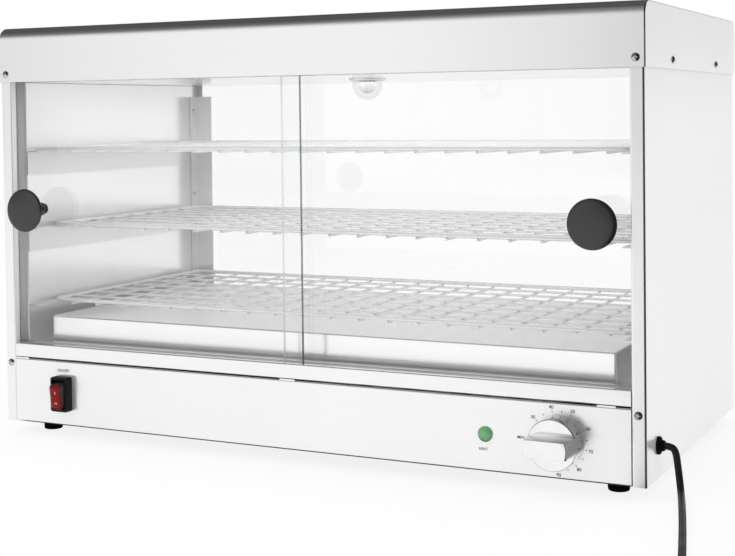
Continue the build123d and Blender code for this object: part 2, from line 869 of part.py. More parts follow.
def capillary_x():
    """X at which the capillary passes the floor."""
    return dial_place - capillary_shift


def capillary_y():
    """Y at which the capillary passes the floor."""
    return front + plinth_front + capillary_shift


def thermostat():
    """Thermostat body, its capillary and bulb, its spindle and the dial knob."""
    back = front + sheet
    case_width, case_depth, case_height = 34.0, 26.0, 38.0
    ear_span, ear_thickness, ear_height = 52.0, 1.5, 14.0
    sensor_radius, sensor_length, sensor_lead = 4.0, 80.0, 30.0
    spindle_seat = 12.0
    with BuildPart() as body:
        with Locations((dial_place, back, control_z)):
            Box(case_width, case_depth, case_height,
                align=(Align.CENTER, Align.MIN, Align.CENTER))
            Box(ear_span, ear_thickness, ear_height,
                align=(Align.CENTER, Align.MIN, Align.CENTER))
        with Locations(facing_front(dial_place, back, control_z)):
            Cylinder(spindle_radius + 0.05, 2 * case_depth, mode=Mode.SUBTRACT)
    keep(body, "thermostat_body")
    exit_z = control_z - case_height / 3
    sensor_z = floor_z + sensor_radius + 0.6
    with BuildPart() as probe:
        with BuildLine() as path:
            FilletPolyline((dial_place, back + case_depth, exit_z),
                           (dial_place, capillary_y(), exit_z),
                           (capillary_x(), capillary_y(), exit_z),
                           (capillary_x(), capillary_y(), sensor_z),
                           (capillary_x() - sensor_lead, capillary_y(), sensor_z), radius=4)
        with BuildSketch(Plane(origin=path.wire() @ 0, z_dir=path.wire() % 0)):
            Circle(capillary_radius)
        sweep(path=path.wire())
        with Locations(facing_side(capillary_x() - sensor_lead + 1, capillary_y(), sensor_z, -1)):
            Cylinder(sensor_radius, sensor_length,
                     align=(Align.CENTER, Align.CENTER, Align.MIN))
    keep(probe, "thermostat_probe")
    with BuildPart() as spindle:
        with Locations(facing_front(dial_place, back + spindle_seat, control_z)):
            Cylinder(spindle_radius, spindle_seat + sheet + dial_skirt,
                     align=(Align.CENTER, Align.CENTER, Align.MIN))
    keep(spindle, "thermostat_spindle")
    with BuildPart() as knob:
        with BuildSketch() as skirt_base:
            Circle(dial_radius)
        with BuildSketch(Plane.XY.offset(dial_skirt)) as skirt_top:
            Circle(dial_top_radius)
        loft()
        fillet(knob.faces().sort_by(Axis.Z)[-1].edges(), 1.0)
        with BuildSketch(Plane.XY.offset(dial_skirt - 1)):
            SlotOverall(dial_grip_length + 6, dial_grip_width)
            Rectangle(dial_grip_length, dial_grip_width, mode=Mode.INTERSECT)
        extrude(amount=dial_height - dial_skirt + 1)
        fillet(knob.faces().sort_by(Axis.Z)[-1].edges(), 1.2)
        Cylinder(spindle_radius + 0.05, 2 * (dial_skirt + 1), mode=Mode.SUBTRACT)
    with BuildPart() as placed_knob:
        with Locations(facing_front(dial_place, front - dial_gap, control_z)):
            add(knob.part)
    keep(placed_knob, "thermostat_knob")


def rocker_plane():
    """The rocker's own plane: X inwards along its travel, Y up its height, tilted at rest."""
    tilt = radians(rocker_tilt)
    return Plane(origin=(switch_place, front, control_z),
                 x_dir=(0, cos(tilt), sin(tilt)), z_dir=(1, 0, 0))


def rocker_outline(grow):
    """Side outline of the rocker, grown all round by the amount given."""
    half = rocker_height / 2 + grow
    face = -rocker_reach - grow
    with BuildSketch() as outline:
        with BuildLine():
            Polyline((face, half - 3), (face + 3, half), (2, half), (2, -half),
                     (face + 3, -half), (face, -half + 3))
            ThreePointArc((face, -half + 3), (face + 1.2, 0), (face, half - 3))
        make_face()
    return outline.sketch


def switch():
    """The mains switch: raised surround, body, rocker and the clear boot over the rocker."""
    opening_width = switch_width - 2 * switch_wall
    opening_height = switch_height - 2 * switch_wall
    pivot = facing_side(switch_place, front, control_z, 1)
    pin_hole = rocker_pin_radius + 0.05
    body_reach = 22.0
    blade_width, blade_thickness, blade_reach, blade_pitch = 6.3, 0.8, 9.0, 9.0
    with BuildPart() as surround:
        with BuildSketch(Plane.XZ.offset(-front)):
            with Locations((switch_place, control_z)):
                RectangleRounded(switch_width, switch_height, 3)
                RectangleRounded(opening_width, opening_height, 1, mode=Mode.SUBTRACT)
        extrude(amount=switch_proud)
        fillet(surround.faces().sort_by(Axis.Y)[0].outer_wire().edges(), 1.5)
        with BuildSketch(Plane.XZ.offset(sheet - front)):
            with Locations((switch_place, control_z)):
                RectangleRounded(opening_width, opening_height, 1)
                RectangleRounded(opening_width - 2 * sleeve_wall,
                                 opening_height - 2 * sleeve_wall, 1 - sleeve_wall,
                                 mode=Mode.SUBTRACT)
        extrude(amount=-sheet - sleeve_depth)
        with Locations(pivot):
            Cylinder(pin_hole, 2 * (rocker_pin_reach + 0.05), mode=Mode.SUBTRACT)
    keep(surround, "switch_surround")
    with BuildPart() as body:
        with Locations((switch_place, front + sleeve_depth + 0.2, control_z)):
            Box(opening_width, body_reach, opening_height,
                align=(Align.CENTER, Align.MIN, Align.CENTER))
        with Locations(facing_back(switch_place, front + sleeve_depth + body_reach, control_z)):
            with GridLocations(1, blade_pitch, 1, 3):
                Box(blade_width, blade_thickness, 2 * blade_reach)
    keep(body, "switch_body")
    plane = rocker_plane()
    with BuildPart() as rocker:
        with BuildSketch(plane.offset(-rocker_width / 2)):
            add(rocker_outline(0))
        extrude(amount=rocker_width)
        with Locations(pivot):
            Cylinder(rocker_pin_radius, 2 * rocker_pin_reach)
    keep(rocker, "switch_rocker")
    outer = rocker_width + 2 * (boot_wall + boot_gap)
    with BuildPart() as boot:
        with BuildSketch(plane.offset(-outer / 2)):
            add(rocker_outline(boot_wall + boot_gap))
        extrude(amount=outer)
        with BuildSketch(plane.offset(-rocker_width / 2 - boot_gap)):
            add(rocker_outline(boot_gap))
            with Locations((4, 0)):
                Rectangle(6, rocker_height + 2 * boot_gap)
        extrude(amount=rocker_width + 2 * boot_gap, mode=Mode.SUBTRACT)
        with Locations(pivot):
            Cylinder(pin_hole, 2 * outer, mode=Mode.SUBTRACT)
    keep(boot, "switch_boot")


def pilot_lamp():
    """The green heat lamp: a domed lens in front of the panel and its body behind."""
    with BuildPart() as lens:
        with BuildSketch(Plane.XZ):
            with BuildLine():
                crown = pilot_radius * 0.3
                Polyline((crown, pilot_proud), (0, pilot_proud), (0, 0), (pilot_radius, 0),
                         (pilot_radius, pilot_rim))
                ThreePointArc((pilot_radius, pilot_rim),
                              (pilot_radius * 0.75, pilot_proud * 0.76), (crown, pilot_proud))
            make_face()
        revolve(axis=Axis.Z)
    with BuildPart() as placed_lens:
        with Locations(facing_front(pilot_place, front, control_z)):
            add(lens.part)
    keep(placed_lens, "pilot_lens")
    barrel_length, nut_height = 26.0, 3.0
    with BuildPart() as body:
        with Locations(facing_back(pilot_place, front, control_z)):
            Cylinder(pilot_radius - 1.3, barrel_length,
                     align=(Align.CENTER, Align.CENTER, Align.MIN))
        with Locations(facing_back(pilot_place, front + sheet, control_z)):
            Cylinder(pilot_radius + 1.5, nut_height,
                     align=(Align.CENTER, Align.CENTER, Align.MIN))
    keep(body, "pilot_body")


def terminal_block():
    """The mains terminal block on the tray beside the lead's entry."""
    length, width, height = 34.0, 20.0, 16.0
    way_pitch, way_radius, way_depth = 11.0, 2.0, 6.0
    x, y = half_width - 60, front + gland_setback + width
    with BuildPart() as block:
        with Locations((x, y, base_z + sheet)):
            Box(length, width, height, align=(Align.CENTER, Align.CENTER, Align.MIN))
        with Locations((x, y, base_z + sheet + height)):
            with GridLocations(way_pitch, 1, 3, 1):
                Cylinder(way_radius, 2 * way_depth, mode=Mode.SUBTRACT)
    keep(block, "terminal_block")


# Mains lead

# Points of the lead's free stretch, chosen by hand and counted from the right side wall and
# the front: out of the gland, over and down to the surface, then to the front past the
# counter's corner to the place of the coil.
cord_rest = cord_diameter / 2 + 0.1
gland_y = front + gland_setback
cord_route = (
    (gland_flange + gland_nose, 41.0, gland_level),
    (12.5, 41.0, gland_level),
    (16.9, 41.05, 41.6),
    (18.6, 41.15, 30.0),
    (20.6, 41.35, 13.0),
    (23.6, 33.35, cord_rest),
    (28.5, 14.95, cord_rest),
    (35.7, -13.15, cord_rest),
    (45.6, -52.95, cord_rest),
    (55.6, -94.75, cord_rest),
    (65.4, -136.65, cord_rest),
    (75.0, -178.55, cord_rest),
    (84.1, -219.55, cord_rest),
    (91.0, -251.85, cord_rest),
)
cord_points = [(half_width + x, front + y, z) for x, y, z in cord_route]


def cable_gland():
    """The tapered strain relief where the lead leaves the right side wall."""
    inner = -sheet - 1
    with BuildPart() as gland:
        with BuildSketch(Plane.XZ):
            with BuildLine():
                bore = gland_flange_radius - 2.5
                nose_end = gland_flange + gland_nose
                Polyline((0, nose_end), (0, inner - gland_tail),
                         (cord_diameter / 2 + 0.8, inner - gland_tail),
                         (bore + 1.5, inner), (bore, inner), (bore, 0),
                         (gland_flange_radius, 0), (gland_flange_radius, gland_flange - 1),
                         (gland_flange_radius - 1, gland_flange),
                         (cord_diameter / 2 + 3, gland_flange),
                         (cord_diameter / 2 + 1.3, nose_end), (0, nose_end))
            make_face()
        revolve(axis=Axis.Z)
    with BuildPart() as placed:
        with Locations(facing_side(half_width, gland_y, gland_level, 1)):
            add(gland.part)
    keep(placed, "cable_gland")


def power_cord():
    """The lead's free stretch, with each bend as wide as its two runs allow."""
    points = [Vector(*point) for point in cord_points]
    runs = [after - before for before, after in zip(points, points[1:])]
    radii = [0.45 * min(one.length, two.length) / tan(radians(one.get_angle(two)) / 2)
             for one, two in zip(runs, runs[1:])]
    with BuildPart() as cord:
        with BuildLine() as route:
            FilletPolyline(*cord_points, radius=radii)
        path = route.wire()
        with BuildSketch(Plane(origin=path @ 0, z_dir=path % 0)):
            Circle(cord_diameter / 2)
        sweep(path=path)
    keep(cord, "power_cord")
    section = pi * cord_diameter ** 2 / 4
    print("lead radii", [round(radius, 1) for radius in radii])
    print(f"lead length {path.length:.1f}, volume ratio",
          round(cord.part.volume / (section * path.length), 4))
    return path.length


def coil_path():
    """Centre line of the put-away length: in on the surface, up a layer, and out again."""
    start = Vector(*cord_points[-1])
    along = (start - Vector(*cord_points[-2])).normalized()
    inward = Vector(along.Y, -along.X, 0)
    outside = start + along * cord_diameter
    middle = outside + inward * coil_radius
    with BuildLine() as turns:
        Line(start, outside)
        here, heading, radius, height = outside, along, coil_radius, 0
        for half_turn in range(coil_half_turns):
            side = -1 if half_turn % 2 else 1
            if half_turn == coil_climb_turn:
                height = coil_rise
            else:
                radius += coil_step / 2 * (1 if half_turn > coil_climb_turn else -1)
            there = middle + inward * side * radius + Vector(0, 0, height)
            TangentArc(here, there, tangent=heading)
            here, heading = there, heading * -1
        Line(here, here + heading * cord_diameter)
    return turns.wire()


def cord_coil():
    """The coil as one unbroken tube, whose least gap to itself is measured and printed."""
    path = coil_path()
    with BuildPart() as coil:
        with BuildSketch(Plane(origin=path @ 0, z_dir=path % 0)):
            Circle(cord_diameter / 2)
        sweep(path=path)
    keep(coil, "cord_coil")
    steps = round(path.length / 2)
    spots = path.positions([step / steps for step in range(steps + 1)])
    apart = round(3 * cord_diameter / 2)
    nearest = min((spots[one] - spots[two]).length
                  for one in range(len(spots)) for two in range(one + apart, len(spots)))
    print(f"coil length {path.length:.1f}, least gap {nearest - cord_diameter:.2f}")
    return path


def plug_lead(path):
    """The short free end between the coil and the plug, bending away from the coil."""
    spots = [path @ 1]
    heading = path % 1
    for turn in range(tail_runs):
        spots.append(spots[-1] + heading * tail_run)
        heading = heading.rotate(Axis.Z, tail_turn)
    radii = 0.45 * tail_run / tan(radians(tail_turn) / 2)
    with BuildPart() as lead:
        with BuildLine() as route:
            FilletPolyline(*spots, radius=radii)
        tail = route.wire()
        with BuildSketch(Plane(origin=tail @ 0, z_dir=tail % 0)):
            Circle(cord_diameter / 2)
        sweep(path=tail)
    keep(lead, "plug_lead")
    print(f"plug lead radius {radii:.1f}, length {tail.length:.1f}")
    return tail


def mains_plug(path):
    """A plug with three round pins in a row, lying at the end of the lead."""
    end = Plane(origin=path @ 1, x_dir=(0, 0, 1), z_dir=path % 1)
    shoulder = end.offset(plug_neck + plug_shoulder)
    with BuildPart() as plug:
        with BuildSketch(end):
            Circle(cord_diameter / 2 + 0.9)
        with BuildSketch(end.offset(plug_neck)):
            Circle(cord_diameter / 2 + 2.6)
        loft()
        with BuildSketch(end.offset(plug_neck - 1)):
            RectangleRounded(plug_thickness * 0.7, plug_width * 0.6, plug_corner)
        with BuildSketch(shoulder):
            RectangleRounded(plug_thickness, plug_width, plug_corner)
        loft()
        with BuildSketch(shoulder):
            RectangleRounded(plug_thickness, plug_width, plug_corner)
        extrude(amount=plug_length - plug_shoulder)
    keep(plug, "mains_plug")
    with BuildPart() as pins:
        with BuildSketch(end.offset(plug_neck + plug_length)):
            with GridLocations(1, pin_pitch, 1, 3):
                Circle(pin_radius)
        extrude(amount=pin_length)
        fillet(pins.faces().filter_by(lambda face: abs(end.to_local_coords(face.center()).Z
                                      - plug_neck - plug_length - pin_length) < 0.1).edges(),
               pin_radius * 0.6)
    keep(pins, "plug_pins")


base_tray()
feet()
control_panel()
door_sill()
back_panel()
floor_plate()
for wall_side, wall_hand in ((-1, "left"), (1, "right")):
    side_panel(wall_side, f"{wall_hand}_side_panel")
    side_liner(wall_side, f"{wall_hand}_side_liner")
    corner_post(wall_side, f"{wall_hand}_corner_post")
    shelf_brackets(wall_side, f"{wall_hand}_shelf_brackets")
post_rivets()
back_glass()
canopy()
canopy_screws()
ceiling_panel()
door_rails()
front_header()
door("left")
door("right")
for shelf_level in range(shelf_count):
    shelf(shelf_level, f"shelf_{shelf_level + 1}")
heater_cover()
heating_elements()
lamp()
thermostat()
switch()
pilot_lamp()
terminal_block()
cable_gland()
free_length = power_cord()
coil_route = cord_coil()
tail_route = plug_lead(coil_route)
mains_plug(tail_route)
print(f"whole lead {(free_length + coil_route.length + tail_route.length) / 1000:.3f} m")
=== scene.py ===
import logging
import math
from dataclasses import dataclass
from enum import Enum
from typing import Callable, Sequence, Tuple

import bpy
from mathutils import Euler, Matrix, Vector


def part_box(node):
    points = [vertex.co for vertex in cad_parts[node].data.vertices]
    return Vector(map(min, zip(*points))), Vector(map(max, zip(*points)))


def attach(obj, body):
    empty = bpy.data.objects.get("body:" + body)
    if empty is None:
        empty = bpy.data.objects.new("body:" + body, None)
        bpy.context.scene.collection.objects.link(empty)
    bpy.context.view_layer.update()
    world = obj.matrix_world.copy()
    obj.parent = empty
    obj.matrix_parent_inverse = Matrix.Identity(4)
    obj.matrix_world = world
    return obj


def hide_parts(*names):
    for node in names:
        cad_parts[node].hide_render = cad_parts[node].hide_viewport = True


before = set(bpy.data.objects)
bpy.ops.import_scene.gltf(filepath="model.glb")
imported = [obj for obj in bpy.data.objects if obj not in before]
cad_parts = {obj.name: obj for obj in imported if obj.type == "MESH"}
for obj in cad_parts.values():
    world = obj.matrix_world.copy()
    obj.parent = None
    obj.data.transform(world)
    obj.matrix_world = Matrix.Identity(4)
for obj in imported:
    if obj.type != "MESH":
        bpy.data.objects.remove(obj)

log = logging.getLogger("counter")

MM = 0.001
PRINT = 0.00003
TYPE_WEIGHT = 0.016
SMOOTH = math.radians(32)
NOISE_MIDDLE = (0.3, 0.7)
Point = Tuple[float, float, float]
Pair = Tuple[float, float]


class Cut(Enum):
    """What a cutter leaves of a piece."""

    REST = "DIFFERENCE"
    SHARED = "INTERSECT"


class Facing(Enum):
    """The way a turned piece's axis points, as the turn that takes +Z there."""

    UP = (0.0, 0.0, 0.0)
    DOWN = (180.0, 0.0, 0.0)
    FRONT = (90.0, 0.0, 0.0)
    BACK = (-90.0, 0.0, 0.0)
    RIGHT = (0.0, 90.0, 0.0)
    LEFT = (0.0, -90.0, 0.0)

    def matrix(self) -> Matrix:
        """The turn as a matrix."""
        return Euler([math.radians(angle) for angle in self.value]).to_matrix().to_4x4()


@dataclass(frozen=True)
class Level:
    """Planes and levels of the counter, in metres, read from the frame's nodes."""

    front: float
    rear: float
    half_width: float
    top: float
    fascia: float

    @staticmethod
    def read() -> "Level":
        """Read the planes from the boxes of the nodes that carry them.

        Returns:
            The levels.
        """
        wall_low, wall_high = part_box("right_side_panel")
        lid_low, lid_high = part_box("canopy")
        return Level(wall_low[1], wall_high[1], wall_high[0], lid_high[2], lid_low[2])


def middle_of(node: str) -> Tuple[float, ...]:
    """The middle of a CAD node's box."""
    return tuple((low + high) / 2 for low, high in zip(*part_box(node)))


class Bench:
    """Small modelling helpers that every sub-assembly uses."""

    @staticmethod
    def clear() -> None:
        """Leave edit mode and deselect everything."""
        if bpy.context.object and bpy.context.object.mode != "OBJECT":
            bpy.ops.object.mode_set(mode="OBJECT")
        bpy.ops.object.select_all(action="DESELECT")

    @staticmethod
    def pick(piece: bpy.types.Object) -> bpy.types.Object:
        """Make a piece the only selected and the active one.

        Args:
            piece: the object to select.

        Returns:
            The same object.
        """
        Bench.clear()
        piece.select_set(True)
        bpy.context.view_layer.objects.active = piece
        return piece

    @staticmethod
    def settle(piece: bpy.types.Object) -> bpy.types.Object:
        """Apply place, turn and scale, so that the origin is the frame's.

        Args:
            piece: the object to settle.

        Returns:
            The same object.
        """
        Bench.pick(piece)
        bpy.ops.object.transform_apply(location=True, rotation=True, scale=True)
        return piece

    @staticmethod
    def put(piece: bpy.types.Object, matrix: Matrix) -> bpy.types.Object:
        """Move a piece by a matrix and settle it there.

        Args:
            piece: the object to move.
            matrix: its new place and turn.

        Returns:
            The same object.
        """
        piece.matrix_world = matrix
        bpy.context.view_layer.update()
        return Bench.settle(piece)

    @staticmethod
    def carry(piece: bpy.types.Object, place: Sequence[float], facing: Facing) -> bpy.types.Object:
        """Move a piece made round the origin to its place and settle it there.

        Args:
            piece: an object whose mesh was made round the origin along +Z.
            place: where the origin goes, in metres.
            facing: the way that +Z points afterwards.

        Returns:
            The settled object.
        """
        return Bench.put(piece, Matrix.Translation(Vector(place)) @ facing.matrix())

    @staticmethod
    def turned(name: str, profile: Sequence[Pair], steps: int = 64) -> bpy.types.Object:
        """Turn a profile about Z.

        Args:
            name: the piece's name.
            profile: radius and height of each point in millimetres, from the axis to the axis.
            steps: how many steps make the full turn.

        Returns:
            A closed, smooth-shaded object round the origin.
        """
        mesh = bpy.data.meshes.new(name)
        points = [(radius * MM, 0.0, height * MM) for radius, height in profile]
        mesh.from_pydata(points, [(i, i + 1) for i in range(len(points) - 1)], [])
        piece = bpy.data.objects.new(name, mesh)
        bpy.context.collection.objects.link(piece)
        Bench.pick(piece)
        bpy.ops.object.mode_set(mode="EDIT")
        bpy.ops.mesh.select_all(action="SELECT")
        bpy.ops.mesh.spin(steps=steps, angle=2 * math.pi, center=(0, 0, 0), axis=(0, 0, 1))
        bpy.ops.mesh.select_all(action="SELECT")
        bpy.ops.mesh.remove_doubles(threshold=1e-6)
        bpy.ops.mesh.normals_make_consistent(inside=False)
        bpy.ops.object.mode_set(mode="OBJECT")
        bpy.ops.object.shade_smooth_by_angle(angle=SMOOTH)
        return piece

    @staticmethod
    def block(name: str, low: Sequence[float], high: Sequence[float], bevel: float = 0.0,
              segments: int = 3) -> bpy.types.Object:
        """A box between two corners, with all its edges rounded when a bevel is given.

        Args:
            name: the piece's name.
            low: lowest corner in metres.
            high: highest corner in metres.
            bevel: width of the rounding in metres.
            segments: how many faces each rounding has.

        Returns:
            The box, settled.
        """
        Bench.clear()
        middle = [(a + b) / 2 for a, b in zip(low, high)]
        bpy.ops.mesh.primitive_cube_add(size=1.0, location=middle)
        piece = bpy.context.object
        piece.name = name
        piece.scale = [b - a for a, b in zip(low, high)]
        Bench.settle(piece)
        if bevel:
            bpy.ops.object.mode_set(mode="EDIT")
            bpy.ops.mesh.select_all(action="SELECT")
            bpy.ops.mesh.bevel(offset=bevel, segments=segments, profile=0.5)
            bpy.ops.object.mode_set(mode="OBJECT")
        bpy.ops.object.shade_smooth_by_angle(angle=SMOOTH)
        return piece

    @staticmethod
    def bevel_edges(piece: bpy.types.Object, chosen: Callable[[Vector, Vector], bool],
                    width: float, segments: int) -> None:
        """Round the edges whose two ends pass a test.

        Args:
            piece: the object to work on.
            chosen: a test of an edge's two ends.
            width: width of the rounding in metres.
            segments: how many faces the rounding has.
        """
        Bench.pick(piece)
        mesh = piece.data
        bpy.ops.object.mode_set(mode="EDIT")
        bpy.ops.mesh.select_mode(type="EDGE")
        bpy.ops.mesh.select_all(action="DESELECT")
        bpy.ops.object.mode_set(mode="OBJECT")
        for edge in mesh.edges:
            first, second = (mesh.vertices[index].co for index in edge.vertices)
            edge.select = chosen(first, second)
        bpy.ops.object.mode_set(mode="EDIT")
        bpy.ops.mesh.bevel(offset=width, segments=segments, profile=0.5)
        bpy.ops.object.mode_set(mode="OBJECT")

    @staticmethod
    def drop_faces(piece: bpy.types.Object, chosen: Callable[[Vector, Vector], bool]) -> None:
        """Delete some faces.

        Args:
            piece: the object to work on.
            chosen: a test of a face's centre and normal.
        """
        Bench.pick(piece)
        mesh = piece.data
        bpy.ops.object.mode_set(mode="EDIT")
        bpy.ops.mesh.select_mode(type="FACE")
        bpy.ops.mesh.select_all(action="DESELECT")
        bpy.ops.object.mode_set(mode="OBJECT")
        for face in mesh.polygons:
            face.select = chosen(face.center, face.normal)
        bpy.ops.object.mode_set(mode="EDIT")
        bpy.ops.mesh.delete(type="FACE")
        bpy.ops.object.mode_set(mode="OBJECT")

    @staticmethod
    def thicken(piece: bpy.types.Object, thickness: float) -> None:
        """Give a skin its thickness inwards.

        Args:
            piece: the skin.
            thickness: thickness in metres.
        """
        Bench.pick(piece)
        wall = piece.modifiers.new("wall", "SOLIDIFY")
        wall.thickness = thickness
        wall.offset = -1.0
        wall.use_even_offset = True
        bpy.ops.object.modifier_apply(modifier=wall.name)

    @staticmethod
    def joined(name: str, pieces: Sequence[bpy.types.Object]) -> bpy.types.Object:
        """Join pieces of one kind into one object.

        Args:
            name: the name of the joined piece.
            pieces: the pieces to join.

        Returns:
            The joined object.
        """
        Bench.clear()
        for piece in pieces:
            piece.select_set(True)
        bpy.context.view_layer.objects.active = pieces[0]
        if len(pieces) > 1:
            bpy.ops.object.join()
        pieces[0].name = name
        return pieces[0]

    @staticmethod
    def copy(piece: bpy.types.Object, name: str, matrix: Matrix) -> bpy.types.Object:
        """A copy with its own mesh, moved by a matrix and settled.

        Args:
            piece: the object to copy.
            name: the copy's name.
            matrix: how the copy is moved from the object.

        Returns:
            The copy.
        """
        twin = piece.copy()
        twin.data = piece.data.copy()
        twin.name = name
        bpy.context.collection.objects.link(twin)
        return Bench.put(twin, matrix @ piece.matrix_world)

    @staticmethod
    def cut(piece: bpy.types.Object, cutter: bpy.types.Object, left: Cut = Cut.REST) -> None:
        """Cut one closed solid by another, which is used up.

        Args:
            piece: the solid that stays.
            cutter: the solid that cuts.
            left: what is left of the piece.
        """
        Bench.pick(piece)
        hole = piece.modifiers.new("hole", "BOOLEAN")
        hole.operation = left.value
        hole.solver = "EXACT"
        hole.object = cutter
        bpy.ops.object.modifier_apply(modifier=hole.name)
        bpy.data.objects.remove(cutter, do_unlink=True)

    @staticmethod
    def arc(centre: Pair, radius: float, start: float, end: float, steps: int) -> list:
        """Points of an arc in the profile plane.

        Args:
            centre: centre of the arc in millimetres.
            radius: radius in millimetres.
            start: first angle in degrees.
            end: last angle in degrees.
            steps: how many runs the arc has.

        Returns:
            The points from start to end.
        """
        angles = [math.radians(start + (end - start) * step / steps) for step in range(steps + 1)]
        return [(centre[0] + radius * math.cos(a), centre[1] + radius * math.sin(a))
                for a in angles]


class Web:
    """The node tree of a material or of the world, with short ways to add and join nodes."""

    def __init__(self, owner: bpy.types.ID, kind: str = "Material") -> None:
        """Start an empty tree with its output.

        Args:
            owner: the material or the world.
            kind: "Material" or "World".
        """
        owner.use_nodes = True
        self.owner = owner
        self.tree = owner.node_tree
        self.tree.nodes.clear()
        self.output = self.add("Output" + kind)

    def add(self, kind: str, **inputs: object) -> bpy.types.Node:
        """Add a node and set its inputs.

        Args:
            kind: the node's type without its ShaderNode prefix.
            inputs: values by socket name, with underscores for spaces.

        Returns:
            The node.
        """
        node = self.tree.nodes.new("ShaderNode" + kind)
        for key, value in inputs.items():
            node.inputs[key.replace("_", " ")].default_value = value
        return node

    def link(self, source: bpy.types.NodeSocket, target: bpy.types.NodeSocket) -> None:
        """Join two sockets."""
        self.tree.links.new(source, target)

    def surface(self, shader: bpy.types.NodeSocket) -> None:
        """Join a shader to the output."""
        self.link(shader, self.output.inputs["Surface"])

    def shine(self, **inputs: object) -> bpy.types.Node:
        """A principled shader joined to the output."""
        shader = self.add("BsdfPrincipled", **inputs)
        self.surface(shader.outputs["BSDF"])
        return shader

    def blend(self, share: bpy.types.NodeSocket, first: bpy.types.NodeSocket,
              second: bpy.types.NodeSocket) -> bpy.types.NodeSocket:
        """Mix two shaders.

        Args:
            share: how much of the second one there is.
            first: a shader.
            second: another shader.

        Returns:
            The mixed shader.
        """
        mix = self.add("MixShader")
        for source, end in zip((share, first, second), mix.inputs):
            self.link(source, end)
        return mix.outputs["Shader"]

    def math(self, operation: str, *terms: object) -> bpy.types.NodeSocket:
        """Work out one number from others.

        Args:
            operation: the Math node's operation.
            terms: what it works on, each a socket or a number.

        Returns:
            The result.
        """
        node = self.add("Math")
        node.operation = operation
        for term, end in zip(terms, node.inputs):
            if isinstance(term, bpy.types.NodeSocket):
                self.link(term, end)
            else:
                end.default_value = term
        return node.outputs["Value"]

    def fit(self, value: bpy.types.NodeSocket, source: Pair, target: Pair) -> bpy.types.NodeSocket:
        """Map a value from one range to another.

        Args:
            value: the value.
            source: both ends of its range, past which it is clamped.
            target: what the two ends become.

        Returns:
            The mapped value.
        """
        node = self.add("MapRange", From_Min=source[0], From_Max=source[1], To_Min=target[0],
                        To_Max=target[1])
        self.link(value, node.inputs["Value"])
        return node.outputs["Result"]

    def ramp(self, value: bpy.types.NodeSocket, ends: Pair,
             stops: Sequence[Pair]) -> bpy.types.NodeSocket:
        """Grey tones by a value.

        Args:
            value: the value.
            ends: both ends of its range.
            stops: values and their tones, in order.

        Returns:
            The tone.
        """
        ramp = self.add("ValToRGB")
        elements = ramp.color_ramp.elements
        while len(elements) < len(stops):
            elements.new(0.5)
        for element, (place, tone) in zip(elements, stops):
            element.position = (place - ends[0]) / (ends[1] - ends[0])
            element.color = (tone, tone, tone, 1.0)
        self.link(self.fit(value, ends, (0.0, 1.0)), ramp.inputs["Fac"])
        return ramp.outputs["Color"]

    def parts(self, vector: bpy.types.NodeSocket) -> bpy.types.NodeOutputs:
        """The X, Y and Z of a vector."""
        split = self.add("SeparateXYZ")
        self.link(vector, split.inputs["Vector"])
        return split.outputs

    def normal(self) -> bpy.types.NodeOutputs:
        """The X, Y and Z of the surface's normal."""
        return self.parts(self.add("NewGeometry").outputs["Normal"])

    def noise(self, scale: Sequence[float], size: float,
              detail: float = 3.0) -> bpy.types.NodeSocket:
        """A cloud of values on stretched object coordinates.

        Args:
            scale: how far the coordinates are stretched along X, Y and Z.
            size: the noise's scale.
            detail: how fine its detail goes.

        Returns:
            A value between 0 and 1.
        """
        place = self.add("TexCoord")
        stretch = self.add("Mapping", Scale=scale)
        self.link(place.outputs["Object"], stretch.inputs["Vector"])
        cloud = self.add("TexNoise", Scale=size, Detail=detail)
        self.link(stretch.outputs["Vector"], cloud.inputs["Vector"])
        return cloud.outputs["Fac"]

    def spread(self, value: bpy.types.NodeSocket, low: float, high: float) -> bpy.types.NodeSocket:
        """Map a noise value's middle range to the range given."""
        return self.fit(value, NOISE_MIDDLE, (low, high))

    def tint(self, value: bpy.types.NodeSocket, low: Sequence[float],
             high: Sequence[float]) -> bpy.types.NodeSocket:
        """Colours between two ends.

        Args:
            value: the noise value that chooses.
            low: the colour at its lower end.
            high: the colour at its upper end.

        Returns:
            The colour.
        """
        ramp = self.add("ValToRGB")
        for element, place, colour in zip(ramp.color_ramp.elements, NOISE_MIDDLE, (low, high)):
            element.position = place
            element.color = (*colour, 1.0)
        self.link(value, ramp.inputs["Fac"])
        return ramp.outputs["Color"]

    def bump(self, value: bpy.types.NodeSocket, strength: float, depth: float,
             shader: bpy.types.Node) -> None:
        """Raise a shader's surface by a value.

        Args:
            value: the height.
            strength: from 0 to 1.
            depth: height of the relief in metres.
            shader: the shader whose normal is changed.
        """
        relief = self.add("Bump", Strength=strength, Distance=depth)
        self.link(value, relief.inputs["Height"])
        self.link(relief.outputs["Normal"], shader.inputs["Normal"])


